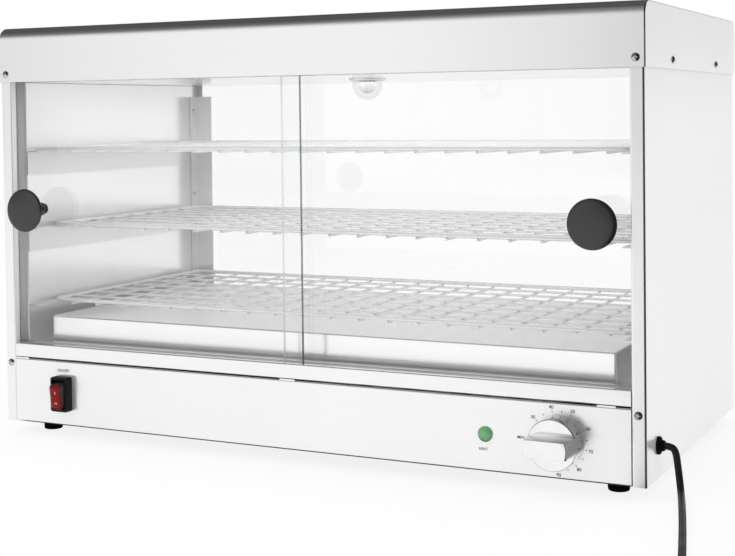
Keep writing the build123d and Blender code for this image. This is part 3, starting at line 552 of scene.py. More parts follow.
@dataclass(frozen=True)
class Brushed:
    """Stainless sheet with a fine straight grain along the folded length.

    Its flat faces can carry a share of plain colour as painted light, lighter than their mirror
    image:
    inward on the faces that look at the counter's middle, outward on those that look sideways away
    from it, and upward and frontward.
    """

    name: str
    tone: float = 0.80
    roughness: float = 0.26
    grain: float = 0.05
    anisotropy: float = 0.35
    metallic: float = 1.0
    inward: float = 1.0
    outward: float = 1.0
    upward: float = 1.0
    frontward: float = 1.0
    along: float = 6.0
    across: float = 900.0
    cloud: float = 0.02
    relief: float = 0.00001

    def make(self) -> bpy.types.Material:
        """Build the material, with the grain along X, and along Y on faces that look sideways.

        Returns:
            The material.
        """
        web = Web(bpy.data.materials.new(self.name))
        shader = web.shine(Metallic=self.metallic, Anisotropic=self.anisotropy)
        normal = web.normal()
        pick = web.add("Mix")
        web.link(web.math("ABSOLUTE", normal["X"]), pick.inputs["Factor"])
        web.link(web.noise((self.along, self.across, self.across), 1.0, 4.0), pick.inputs["A"])
        web.link(web.noise((self.across, self.along, self.across), 1.0, 4.0), pick.inputs["B"])
        grain = pick.outputs["Result"]
        broad = web.noise((1.0, 1.0, 1.0), 3.0, 2.0)
        low, high = self.tone - self.cloud, self.tone + self.cloud
        web.link(web.tint(broad, (low, low, low * 0.995), (high, high, high * 0.998)),
                 shader.inputs["Base Color"])
        web.link(web.spread(grain, self.roughness - self.grain, self.roughness + self.grain),
                 shader.inputs["Roughness"])
        web.bump(grain, 0.06, self.relief, shader)
        # Painted light: faces that look inward, outward, up or to the front lose part of their
        # metal and show their plain colour lighter.
        if min(self.inward, self.outward, self.upward, self.frontward) < self.metallic:
            web.link(self.painted_light_metallic(web, normal), shader.inputs["Metallic"])
        return web.owner

    def painted_light_metallic(self, web: Web, normal: bpy.types.NodeOutputs) -> bpy.types.NodeSocket:
        """The painted-light metallic share: the least that the ways a face looks give it.

        Args:
            web: the material's tree.
            normal: X, Y and Z of the face's normal.

        Returns:
            The metallic share.
        """
        where = web.parts(web.add("TexCoord").outputs["Object"])
        away = web.math("MULTIPLY", normal["X"], web.math("SIGN", where["X"]))
        ahead = web.math("MULTIPLY", normal["Y"], -1.0)
        shares = [self.share(web, away, self.inward, self.outward),
                  self.share(web, normal["Z"], self.metallic, self.upward),
                  self.share(web, ahead, self.metallic, self.frontward)]
        return web.math("MINIMUM", shares[0], web.math("MINIMUM", shares[1], shares[2]))

    def share(self, web: Web, value: bpy.types.NodeSocket, back: float,
              ahead: float) -> bpy.types.NodeSocket:
        """Painted-light metallic share along one direction.

        Args:
            web: the material's tree.
            value: how far a face looks along the direction, from -1 to 1.
            back: the share of faces that look against it.
            ahead: the share of flat faces that look along it.

        Returns:
            The share, which is the sheet's own in between.
        """
        return web.ramp(value, (-1.0, 1.0), ((-0.9, back), (-0.1, self.metallic),
                                             (0.95, self.metallic), (0.99, ahead)))


@dataclass(frozen=True)
class Polished:
    """Plated or drawn metal with faint marks of handling."""

    name: str
    colour: Point = (0.86, 0.87, 0.88)
    roughness: float = 0.10
    metallic: float = 1.0

    def make(self) -> bpy.types.Material:
        """Build the material.

        Returns:
            The material.
        """
        web = Web(bpy.data.materials.new(self.name))
        shader = web.shine(Metallic=self.metallic)
        marks = web.noise((60.0, 60.0, 60.0), 1.0, 4.0)
        dim = tuple(part * 0.93 for part in self.colour)
        web.link(web.tint(marks, dim, self.colour), shader.inputs["Base Color"])
        web.link(web.spread(marks, self.roughness * 0.7, self.roughness * 1.4),
                 shader.inputs["Roughness"])
        web.bump(marks, 0.05, 0.00005, shader)
        return web.owner


@dataclass(frozen=True)
class Moulded:
    """Moulded plastic, rubber or ceramic with a fine surface texture."""

    name: str
    colour: Point = (0.02, 0.02, 0.02)
    roughness: float = 0.4
    texture: float = 700.0
    relief: float = 0.00004
    coat: float = 0.0
    specular: float = 0.5

    def make(self) -> bpy.types.Material:
        """Build the material.

        Returns:
            The material.
        """
        web = Web(bpy.data.materials.new(self.name))
        shader = web.shine(Coat_Weight=self.coat, Coat_Roughness=0.06,
                           Specular_IOR_Level=self.specular)
        fine = web.noise((1.0, 1.0, 1.0), self.texture, 3.0)
        broad = web.noise((1.0, 1.0, 1.0), 35.0, 3.0)
        bright = tuple(part * 1.25 for part in self.colour)
        web.link(web.tint(broad, self.colour, bright), shader.inputs["Base Color"])
        web.link(web.spread(broad, self.roughness * 0.85, self.roughness * 1.15),
                 shader.inputs["Roughness"])
        web.bump(fine, 0.25, self.relief, shader)
        return web.owner


@dataclass(frozen=True)
class Clear:
    """A clear pane or shell that is see-through, mirrors at a slant and shows an edge colour at
    its edges.

    The edge colour is partly the glass's own tint and partly painted light: a dark one is painted
    shade, a pale one a painted lit edge.
    The far face of the wall takes the inverse index, so that it mirrors no more than the near one.
    """

    name: str
    tint: Point = (0.998, 0.999, 0.999)
    edge: Point = (0.35, 0.45, 0.42)
    edge_weight: float = 0.0
    roughness: float = 0.01
    density: float = 0.0
    ior: float = 1.5

    def make(self) -> bpy.types.Material:
        """Build the material from see-through and mirror parts mixed by the slant.

        Returns:
            The material.
        """
        web = Web(bpy.data.materials.new(self.name))
        through = web.add("BsdfTransparent")
        smear = web.noise((1.0, 1.0, 1.0), 4.0, 2.0)
        faint = tuple(part * 0.996 for part in self.tint)
        web.link(web.tint(smear, faint, self.tint), through.inputs["Color"])
        body = web.add("BsdfPrincipled", Roughness=0.15, Base_Color=(*self.edge, 1.0))
        mirror = web.add("BsdfAnisotropic", Roughness=self.roughness, Color=(1, 1, 1, 1))
        facing = web.add("NewGeometry")
        slant = web.add("Fresnel")
        web.link(web.fit(facing.outputs["Backfacing"], (0.0, 1.0), (self.ior, 1.0 / self.ior)),
                 slant.inputs["IOR"])
        flat = web.math("ABSOLUTE", web.parts(facing.outputs["Normal"])["Y"])
        # Painted shade and painted light: faces that look sideways show the edge colour by
        # edge_weight.
        filled = web.blend(web.fit(flat, NOISE_MIDDLE, (self.edge_weight, self.density)),
                           through.outputs["BSDF"], body.outputs["BSDF"])
        web.surface(web.blend(slant.outputs["Fac"], filled, mirror.outputs["BSDF"]))
        return web.owner


@dataclass(frozen=True)
class Coloured:
    """Coloured lens plastic with a gloss coat."""

    name: str
    colour: Point = (0.02, 0.35, 0.1)
    roughness: float = 0.12
    coat: float = 0.6

    def make(self) -> bpy.types.Material:
        """Build the material.

        Returns:
            The material.
        """
        web = Web(bpy.data.materials.new(self.name))
        shader = web.shine(IOR=1.49, Coat_Weight=self.coat, Coat_Roughness=0.04,
                           Roughness=self.roughness)
        cloud = web.noise((1.0, 1.0, 1.0), 160.0, 3.0)
        bright = tuple(min(1.0, part * 1.3) for part in self.colour)
        web.link(web.tint(cloud, self.colour, bright), shader.inputs["Base Color"])
        web.bump(cloud, 0.08, 0.0001, shader)
        return web.owner


class Store:
    """Every finish of the counter, made once and handed out by name."""

    FINISHES = (
        # Painted light: a share below metallic (inward, outward, upward, frontward) shows faces
        # that look that way partly in plain colour, lighter than their mirror image.
        Brushed("outer_steel", tone=0.92, roughness=0.22, grain=0.03, frontward=0.7),
        Brushed("panel_steel", tone=0.91, roughness=0.22, grain=0.03, inward=0.1, outward=0.45,
                frontward=0.7),
        Brushed("lid_steel", tone=0.90, roughness=0.15, grain=0.03, outward=0.45, upward=0.4,
                frontward=0.7),
        Brushed("inner_steel", tone=0.97, roughness=0.18, grain=0.02, anisotropy=0.1,
                metallic=0.65),
        Brushed("cover_steel", tone=0.98, roughness=0.18, grain=0.02, anisotropy=0.1,
                upward=0.35),
        Brushed("bracket_steel", tone=0.82, roughness=0.25, grain=0.02, anisotropy=0.1,
                metallic=0.6),
        Brushed("hidden_steel", tone=0.70, roughness=0.35, grain=0.05, anisotropy=0.0),
        Polished("wire_chrome", colour=(0.92, 0.92, 0.93), roughness=0.18, metallic=0.5),
        Polished("screw_steel", colour=(0.62, 0.62, 0.61), roughness=0.18),
        Polished("dial_chrome", colour=(0.94, 0.94, 0.94), roughness=0.10),
        Polished("pin_brass", colour=(0.72, 0.58, 0.30), roughness=0.25),
        Polished("tube_copper", colour=(0.72, 0.45, 0.32), roughness=0.3),
        Polished("element_steel", colour=(0.42, 0.41, 0.40), roughness=0.35),
        Moulded("knob_black", colour=(0.012, 0.012, 0.013), roughness=0.22, texture=500.0,
                relief=0.00001, coat=0.4),
        Moulded("switch_black", colour=(0.009, 0.009, 0.009), roughness=0.45, relief=0.00003,
                specular=0.12),
        Moulded("rail_grey", colour=(0.45, 0.45, 0.45), roughness=0.45),
        Moulded("rubber_black", colour=(0.006, 0.006, 0.006), roughness=0.65, specular=0.03),
        Moulded("cord_black", colour=(0.012, 0.012, 0.012), roughness=0.42, texture=900.0,
                specular=0.35),
        Moulded("ceramic_white", colour=(0.78, 0.77, 0.74), roughness=0.25, texture=300.0,
                relief=0.00002, coat=0.3),
        Moulded("rocker_red", colour=(0.40, 0.003, 0.003), roughness=0.4, texture=500.0,
                relief=0.00002, specular=0.15),
        Moulded("print_black", colour=(0.015, 0.015, 0.015), roughness=0.6, texture=900.0,
                relief=0.00001, specular=0.2),
        Moulded("print_white", colour=(0.85, 0.85, 0.85), roughness=0.5, texture=900.0,
                relief=0.00001),
        Coloured("pilot_green", colour=(0.12, 0.32, 0.15), roughness=0.12),
        # Painted shade and painted light: the same door glass has dark edges on the left door and
        # pale edges on the right.
        Clear("left_door_clear", edge=(0.10, 0.11, 0.11), edge_weight=0.9),
        Clear("right_door_clear", edge=(0.80, 0.82, 0.82), edge_weight=0.6),
        Clear("back_clear", edge=(0.5, 0.55, 0.54), edge_weight=0.5),
        Clear("lamp_clear", tint=(0.985, 0.988, 0.988), edge=(0.7, 0.72, 0.72),
              edge_weight=0.04, roughness=0.02, ior=1.2),
        # The boot's dark edge colour is partly its smoky tint and partly painted shade on its
        # rounded sides.
        Clear("boot_clear", tint=(0.84, 0.81, 0.81), edge=(0.06, 0.055, 0.055),
              edge_weight=0.45, roughness=0.08, ior=1.18),
    )

    def __init__(self) -> None:
        """Make every material."""
        self.made = {finish.name: finish.make() for finish in self.FINISHES}

    def paint(self, piece: bpy.types.Object, name: str) -> bpy.types.Object:
        """Give a whole piece one finish.

        Args:
            piece: the object to paint.
            name: the finish's name.

        Returns:
            The same object.
        """
        piece.data.materials.clear()
        piece.data.materials.append(self.made[name])
        return piece

    def nodes(self, name: str, *listed: str) -> None:
        """Give CAD nodes a finish in their object's own material slots.

        Args:
            name: the finish's name.
            listed: the nodes.
        """
        for node in listed:
            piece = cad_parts[node]
            for place in piece.material_slots:
                place.link = "OBJECT"
                place.material = self.made[name]


@dataclass(frozen=True)
class PanHead:
    """A domed screw head with a cross recess.

    Radius, height and shank_depth are in millimetres. The others are shares of radius or height.
    """

    radius: float
    height: float
    crown: float = 0.75
    dome: float = 0.97
    lip: float = 0.18
    shank: float = 0.4
    shank_depth: float = 1.0
    cross_length: float = 1.1
    cross_width: float = 0.22
    cross_depth: float = 0.9

    def make(self, name: str) -> bpy.types.Object:
        """Turn the head and cut its cross.

        Args:
            name: the object's name.

        Returns:
            The head, round the origin along +Z.
        """
        radius, height, shank = self.radius, self.height, self.radius * self.shank
        ball = radius ** 2 / (2 * height * self.crown)
        angle = math.degrees(math.asin(min(1.0, radius * self.dome / ball)))
        dome = Bench.arc((0.0, height - ball), ball, 90.0 - angle, 90.0, 8)
        head = Bench.turned(name, [(0.0, -self.shank_depth), (shank, -self.shank_depth),
                                   (shank, 0.0), (radius, 0.0), (radius, height * self.lip),
                                   *dome], 40)
        for turn in (0.0, 90.0):
            Bench.clear()
            bpy.ops.mesh.primitive_cube_add(size=1.0, location=(0, 0, height * MM),
                                            rotation=(0, 0, math.radians(turn)))
            slot = bpy.context.object
            slot.scale = (radius * self.cross_length * MM, radius * self.cross_width * MM,
                          height * self.cross_depth * MM)
            Bench.cut(head, Bench.settle(slot))
        Bench.pick(head)
        bpy.ops.object.shade_smooth_by_angle(angle=SMOOTH)
        return head


@dataclass
class Part:
    """What every sub-assembly shares: its finishes and how a finished piece is handed over."""

    store: Store
    level: Level

    def deliver(self, piece: bpy.types.Object, finish: str, slot: str, body: str,
                *replaced: str) -> bpy.types.Object:
        """Dress a piece, ride it on its body and put it in place of CAD nodes.

        Args:
            piece: the finished object.
            finish: the name of its finish.
            slot: the record's material slot; not used.
            body: the body that it rides on.
            replaced: the CAD nodes that it stands for.

        Returns:
            The same object.
        """
        self.store.paint(piece, finish)
        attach(piece, body)
        if replaced:
            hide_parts(*replaced)
        log.info("%s: %d faces", piece.name, len(piece.data.polygons))
        return piece

    def screws(self, name: str, node: str, head: PanHead,
               places: Sequence[Tuple[Point, Facing]]) -> None:
        """Put heads in the place of a CAD node's screws.

        Args:
            name: the piece's name.
            node: the CAD node.
            head: the kind of head.
            places: seat and facing of each head, in metres.
        """
        first = head.make(name)
        copies = [Bench.copy(first, f"{name}_{count}", Matrix.Translation(Vector(seat))
                             @ facing.matrix()) for count, (seat, facing) in enumerate(places)]
        bpy.data.objects.remove(first, do_unlink=True)
        self.deliver(Bench.joined(name, copies), "screw_steel", "screw_steel", "cabinet", node)


@dataclass
class Shell(Part):
    """The canopy, the screws that hold it, and the sheet nodes that stay as they are.

    Lengths are in metres, and smooth is the largest angle in degrees that is shaded smooth.
    """

    gap: float = 0.0005
    sheet: float = 0.0012
    bend: float = 0.014
    edge: float = 0.0015
    back_bend: float = 0.0032
    bend_steps: int = 20
    back_steps: int = 8
    edge_steps: int = 4
    near: float = 1e-5
    smooth: float = 20.0
    head: PanHead = PanHead(4.0, 2.2)
    screw_edge: float = 0.0075
    screw_rise: float = 0.009
    strip_screw: float = 0.081
    side_places: Pair = (0.101, 0.294)

    def build(self) -> None:
        """Build the canopy and the screws, and dress the sheets."""
        self.canopy()
        self.fixings()
        self.store.nodes("outer_steel", "control_panel", "door_sill", "back_panel")
        self.store.nodes("panel_steel", "left_side_panel", "right_side_panel")
        self.store.nodes("bracket_steel", "left_shelf_brackets", "right_shelf_brackets")
        self.store.nodes("hidden_steel", "base_tray")
        self.store.nodes("inner_steel", "left_side_liner", "right_side_liner", "floor_plate",
                         "ceiling_panel", "left_corner_post", "right_corner_post",
                         "front_header")
        self.store.nodes("cover_steel", "heater_cover")

    def canopy(self) -> None:
        """The lid: a box with a rolled front edge, open below, with its sheet's thickness."""
        level = self.level
        reach = self.gap + self.sheet
        x = level.half_width + reach
        y_front, y_back = level.front - reach, level.rear + reach
        lid = Bench.block("canopy_lid", (-x, y_front, level.fascia), (x, y_back, level.top))

        def along_top(y: float) -> Callable[[Vector, Vector], bool]:
            """A test for the long top edge at a depth."""
            return lambda *ends: all(abs(p.y - y) < self.near and abs(p.z - level.top) < self.near
                                     for p in ends)

        def round_side(a: Vector, b: Vector) -> bool:
            """Whether an edge bounds one of the two sides, apart from the open bottom."""
            side = abs(abs(a.x) - x) < self.near and abs(a.x - b.x) < self.near
            return side and max(a.z, b.z) > level.fascia + self.near

        Bench.bevel_edges(lid, along_top(y_front), self.bend, self.bend_steps)
        Bench.bevel_edges(lid, along_top(y_back), self.back_bend, self.back_steps)
        Bench.bevel_edges(lid, round_side, self.edge, self.edge_steps)
        Bench.drop_faces(lid, lambda centre, normal: normal.z < -0.9)
        Bench.thicken(lid, self.sheet)
        Bench.pick(lid)
        bpy.ops.object.shade_smooth_by_angle(angle=math.radians(self.smooth))
        self.deliver(lid, "lid_steel", "brushed_steel", "cabinet", "canopy")

    def fixings(self) -> None:
        """The screws of the fascia, of the canopy's sides and of the strips."""
        level = self.level
        out = self.gap + self.sheet
        x = level.half_width - self.screw_edge
        z = level.fascia + self.screw_rise
        self.screws("fascia_screw_heads", "fascia_screws", self.head,
                    [((side * x, level.front - out, z), Facing.FRONT) for side in (-1, 1)])
        self.screws("canopy_screw_heads", "canopy_side_screws", self.head,
                    [((side * (level.half_width + out), level.front + y, z),
                      Facing.RIGHT if side > 0 else Facing.LEFT)
                     for side in (-1, 1) for y in self.side_places])
        self.screws("strip_screw_heads", "strip_screws", self.head,
                    [((side * x, level.front, self.strip_screw), Facing.FRONT)
                     for side in (-1, 1)])


@dataclass
class Doors(Part):
    """The two glass doors with their mushroom knobs, and the rails that they run in.

    The knob's sizes are in millimetres.
    """

    radius: float = 24.2
    reach: float = 31.6
    rim: float = 3.3
    rim_round: float = 1.4
    foot: float = 7.5
    foot_height: float = 6.0
    stem: float = 5.0

    def build(self) -> None:
        """Dress the panes and rails and turn the knobs."""
        self.store.nodes("left_door_clear", "left_door_glass")
        self.store.nodes("right_door_clear", "right_door_glass")
        self.store.nodes("back_clear", "back_glass")
        self.store.nodes("rail_grey", "bottom_door_rail", "top_door_rail")
        self.store.nodes("screw_steel", "left_knob_screw", "right_knob_screw")
        for hand in ("left", "right"):
            self.knob(hand)

    def knob(self, hand: str) -> None:
        """Turn one knob on the axis of its CAD node.

        Args:
            hand: "left" or "right".
        """
        x, _, z = middle_of(f"{hand}_door_knob")
        glass_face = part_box(f"{hand}_door_knob")[1][1]
        back = self.reach - self.rim
        profile = [(0.0, 0.0), (self.foot - 0.5, 0.0), (self.foot, 0.5),
                   (self.foot, self.foot_height), (self.foot - 0.5, self.foot_height + 1.2),
                   (self.stem, self.foot_height + 2.4), (self.stem, back - 9.0),
                   (self.stem + 0.6, back - 5.5), (self.stem + 2.6, back - 3.4),
                   (self.radius / 2 - 0.1, back - 1.8), (self.radius - 6.2, back - 0.9),
                   (self.radius - 1.0, back - 0.3),
                   *Bench.arc((self.radius - self.rim_round, back + 1.1), self.rim_round,
                              -60.0, 72.0, 6),
                   (self.radius * 0.82, self.reach - 0.55), (self.radius * 0.6, self.reach - 0.25),
                   (self.radius * 0.3, self.reach - 0.05), (0.0, self.reach)]
        knob = Bench.carry(Bench.turned(f"{hand}_knob", profile, 96), (x, glass_face, z),
                           Facing.FRONT)
        self.deliver(knob, "knob_black", "knob_plastic", f"{hand}_door", f"{hand}_door_knob")


@dataclass
class Shelf(Part):
    """One wire shelf: a rim with round corners, wires along it and wires across below them.

    Sizes are in metres.
    """

    index: int = 1
    body: str = "bottom_shelf"
    wire: float = 0.0028
    rim: float = 0.0045
    corner: float = 0.012
    long_count: int = 7
    cross_count: int = 20
    cross_pitch: float = 0.034
    wire_end: float = 0.0004
    wire_steps: int = 14

    def build(self) -> None:
        """Make the rim and the wires and join them."""
        low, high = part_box(f"shelf_{self.index}")
        rim_z = high[2] - self.rim / 2
        wire_z = rim_z - (self.rim - self.wire) / 2
        half_x = (high[0] - low[0] - self.rim) / 2
        half_y = (high[1] - low[1] - self.rim) / 2
        middle = middle_of(f"shelf_{self.index}")[1]
        pieces = [self.edge(half_x, half_y, middle, rim_z)]
        pitch = 2 * half_y / (self.long_count + 1)
        for count in range(self.long_count):
            y = middle + (count - (self.long_count - 1) / 2) * pitch
            pieces.append(self.rod((0.0, y, wire_z), 2 * half_x - self.rim * 0.6, Facing.RIGHT))
        for count in range(self.cross_count):
            x = (count - (self.cross_count - 1) / 2) * self.cross_pitch
            pieces.append(self.rod((x, middle, wire_z - self.wire), 2 * half_y + self.rim * 0.9,
                                   Facing.FRONT))
        grid = Bench.joined(f"wire_shelf_{self.index}", pieces)
        self.deliver(grid, "wire_chrome", "shelf_wire", self.body, f"shelf_{self.index}")

    def edge(self, half_x: float, half_y: float, middle: float, z: float) -> bpy.types.Object:
        """The rim as a bent round wire.

        Args:
            half_x: half the rim's width, to its centre line.
            half_y: half the rim's depth, to its centre line.
            middle: Y of the shelf's middle.
            z: level of the rim's centre line.

        Returns:
            The rim as a mesh.
        """
        route = []
        for count, (sx, sy) in enumerate(((1, 1), (-1, 1), (-1, -1), (1, -1))):
            centre = (sx * (half_x - self.corner), middle + sy * (half_y - self.corner))
            route += Bench.arc(centre, self.corner, count * 90.0, count * 90.0 + 90.0, 8)
        data = bpy.data.curves.new("rim", "CURVE")
        data.dimensions = "3D"
        data.bevel_depth = self.rim / 2
        data.bevel_resolution = 5
        line = data.splines.new("POLY")
        line.points.add(len(route) - 1)
        for point, (x, y) in zip(line.points, route):
            point.co = (x, y, z, 1.0)
        line.use_cyclic_u = True
        piece = bpy.data.objects.new("rim", data)
        bpy.context.collection.objects.link(piece)
        Bench.pick(piece)
        bpy.ops.object.convert(target="MESH")
        bpy.ops.object.shade_smooth()
        return bpy.context.object

    def rod(self, place: Point, length: float, facing: Facing) -> bpy.types.Object:
        """One straight wire with rounded-off ends.

        Args:
            place: its middle.
            length: its length in metres.
            facing: the way that it runs.

        Returns:
            The wire.
        """
        radius = self.wire / 2 / MM
        half = length / 2 / MM
        end = self.wire_end / MM
        profile = [(0.0, -half), (radius * 0.7, -half), (radius, -half + end),
                   (radius, half - end), (radius * 0.7, half), (0.0, half)]
        return Bench.carry(Bench.turned("wire", profile, self.wire_steps), place, facing)


@dataclass
class Lamp(Part):
    """The lamp under the ceiling: trim ring, clear dome and frosted bulb, in millimetres."""

    dome: float = 18.0
    wall: float = 1.6
    flange: float = 1.5
    ring_gap: float = 0.5
    ring_lip: float = 1.4
    neck: float = 6.8

    def build(self) -> None:
        """Turn the ring, the dome and the bulb on the axis of the CAD dome."""
        x, y, _ = middle_of("lamp_dome")
        ring_top, width, height = self.measures("lamp_ring")
        inner = self.dome + self.ring_gap
        ring = [(inner, 0.0), (width, 0.0), (width, height * 0.4), (width - 0.6, height * 0.8),
                (width - self.ring_lip, height), (inner + 0.8, height), (inner, height * 0.7),
                (inner, 0.0)]
        self.deliver(Bench.carry(Bench.turned("lamp_trim_ring", ring, 72), (x, y, ring_top),
                                 Facing.DOWN), "wire_chrome", "bright_steel", "cabinet",
                     "lamp_ring")
        dome_top, flange, reach = self.measures("lamp_dome")
        straight = reach - self.dome
        inside = self.dome - self.wall
        shell = [(inside, 0.0), (flange, 0.0), (flange, self.flange), (self.dome, self.flange),
                 *Bench.arc((0.0, straight), self.dome, 0.0, 90.0, 20),
                 *Bench.arc((0.0, straight), inside, 90.0, 0.0, 20), (inside, 0.0)]
        self.deliver(Bench.carry(Bench.turned("lamp_glass_dome", shell, 72), (x, y, dome_top),
                                 Facing.DOWN), "lamp_clear", "door_glass", "cabinet",
                     "lamp_dome")
        bulb_top, ball, tall = self.measures("lamp_bulb")
        start = math.degrees(math.asin(self.neck / ball))
        bulb = [(0.0, 0.0), (self.neck, 0.0), (self.neck, tall - 2 * ball + 1.0),
                *Bench.arc((0.0, tall - ball), ball, -90.0 + start, 90.0, 16)]
        self.deliver(Bench.carry(Bench.turned("lamp_bulb_envelope", bulb, 48), (x, y, bulb_top),
                                 Facing.DOWN), "ceramic_white", "door_glass", "cabinet",
                     "lamp_bulb")
        self.store.nodes("ceramic_white", "lamp_holder")

    @staticmethod
    def measures(node: str) -> Tuple[float, float, float]:
        """A hanging CAD piece's top in metres, and its radius and height in millimetres."""
        low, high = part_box(node)
        return high[2], (high[0] - low[0]) / 2 / MM, (high[2] - low[2]) / MM


@dataclass
class Dial(Part):
    """The thermostat's dial knob with its printed scale.

    The turned sizes, from skirt to sunk, are in millimetres, the others in metres and degrees.
    """

    skirt: float = 20.0
    base: float = 25.2
    crown: float = 24.5
    nose: float = 21.0
    edge: float = 1.0
    foot_edge: float = 0.4
    sunk: float = 1.0
    grip_width: float = 0.017
    grip_edge: float = 0.0006
    tick_radius: float = 0.0282
    tick_length: float = 0.0018
    tick_width: float = 0.0007
    label_radius: float = 0.0325
    label_size: float = 0.0046
    word_radius: float = 0.0374
    word_size: float = 0.0042
    step: int = 5
    low_mark: int = 30
    high_mark: int = 90
    low_angle: float = 140.5
    step_angle: float = 19.187

    def build(self) -> None:
        """Make the knob and print the scale."""
        low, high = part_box("thermostat_knob")
        self.x, self.z = (low[0] + high[0]) / 2, (low[2] + high[2]) / 2
        self.knob(low, high)
        self.scale()
        self.store.nodes("pin_brass", "thermostat_spindle")
        self.store.nodes("ceramic_white", "thermostat_body", "terminal_block")
        self.store.nodes("tube_copper", "thermostat_probe")

    def knob(self, low: Sequence[float], high: Sequence[float]) -> None:
        """The skirt as a turned piece, with the grip bar cut from a block by a cone.

        Args:
            low: lowest corner of the CAD knob's box.
            high: its highest corner.
        """
        profile = [(0.0, 0.0), (self.base - self.foot_edge, 0.0), (self.base, self.foot_edge),
                   (self.crown + 0.1, self.skirt - self.edge * 1.2),
                   *Bench.arc((self.crown - self.edge, self.skirt - self.edge), self.edge,
                              10.0, 90.0, 6),
                   (0.0, self.skirt)]
        seat = (self.x, high[1], self.z)
        skirt = Bench.carry(Bench.turned("dial_skirt", profile, 96), seat, Facing.FRONT)
        half = self.base * MM
        bar = Bench.block("dial_grip", (self.x - half, low[1], self.z - self.grip_width / 2),
                          (self.x + half, high[1] - (self.skirt - self.sunk) * MM,
                           self.z + self.grip_width / 2))
        reach = (high[1] - low[1]) / MM
        shoulder, below = self.crown - 0.1, self.skirt - 2 * self.sunk
        cone = [(0.0, below), (shoulder, below), (shoulder, self.skirt),
                (self.nose, reach + 0.01), (0.0, reach + 0.01)]
        Bench.cut(bar, Bench.carry(Bench.turned("cone", cone, 96), seat, Facing.FRONT),
                  Cut.SHARED)
        Bench.pick(bar)
        edges = bar.modifiers.new("edges", "BEVEL")
        edges.width = self.grip_edge
        edges.segments = 3
        edges.limit_method = "ANGLE"
        edges.angle_limit = math.radians(35)
        bpy.ops.object.modifier_apply(modifier=edges.name)
        bpy.ops.object.shade_smooth_by_angle(angle=SMOOTH)
        knob = Bench.joined("dial_knob", [skirt, bar])
        self.deliver(knob, "dial_chrome", "dial_chrome", "thermostat", "thermostat_knob")

    def scale(self) -> None:
        """Ticks and numbers round the dial, and the word at its low end."""
        marks = []
        y = self.level.front
        for count, value in enumerate(range(self.low_mark, self.high_mark + 1, self.step)):
            angle = math.radians(self.low_angle - count * self.step_angle)
            marks.append(self.tick(angle))
            if count % 2 == 0:
                place = (self.x + self.label_radius * math.cos(angle), y,
                         self.z + self.label_radius * math.sin(angle))
                marks.append(lettering(str(value), self.label_size, place))
        marks.append(lettering("MIN", self.word_size, (self.x - self.word_radius, y, self.z)))
        print_piece = Bench.joined("dial_scale_print", marks)
        self.deliver(print_piece, "print_black", "dark_plastic", "cabinet")

    def tick(self, angle: float) -> bpy.types.Object:
        """One printed line that points at the dial's centre.

        Args:
            angle: its place round the dial in radians, from the right upwards.

        Returns:
            The line.
        """
        Bench.clear()
        radius = self.tick_radius
        bpy.ops.mesh.primitive_cube_add(
            size=1.0, location=(self.x + radius * math.cos(angle), self.level.front - PRINT,
                                self.z + radius * math.sin(angle)),
            rotation=(0.0, -angle, 0.0))
        line = bpy.context.object
        line.scale = (self.tick_length, 2 * PRINT, self.tick_width)
        return Bench.settle(line)


def lettering(words: str, size: float, place: Sequence[float]) -> bpy.types.Object:
    """Thin printed letters on the front panel.

    Args:
        words: what is printed.
        size: height of the type in metres.
        place: the middle of the words, on the panel's face.

    Returns:
        The letters as a mesh.
    """
    Bench.clear()
    bpy.ops.object.text_add(location=(place[0], place[1] - PRINT, place[2]),
                            rotation=(math.radians(90), 0, 0))
    type_face = bpy.context.object.data
    type_face.body = words
    type_face.size = size
    type_face.align_x = type_face.align_y = "CENTER"
    type_face.extrude = PRINT
    type_face.offset = size * TYPE_WEIGHT
    bpy.ops.object.convert(target="MESH")
    return Bench.settle(bpy.context.object)


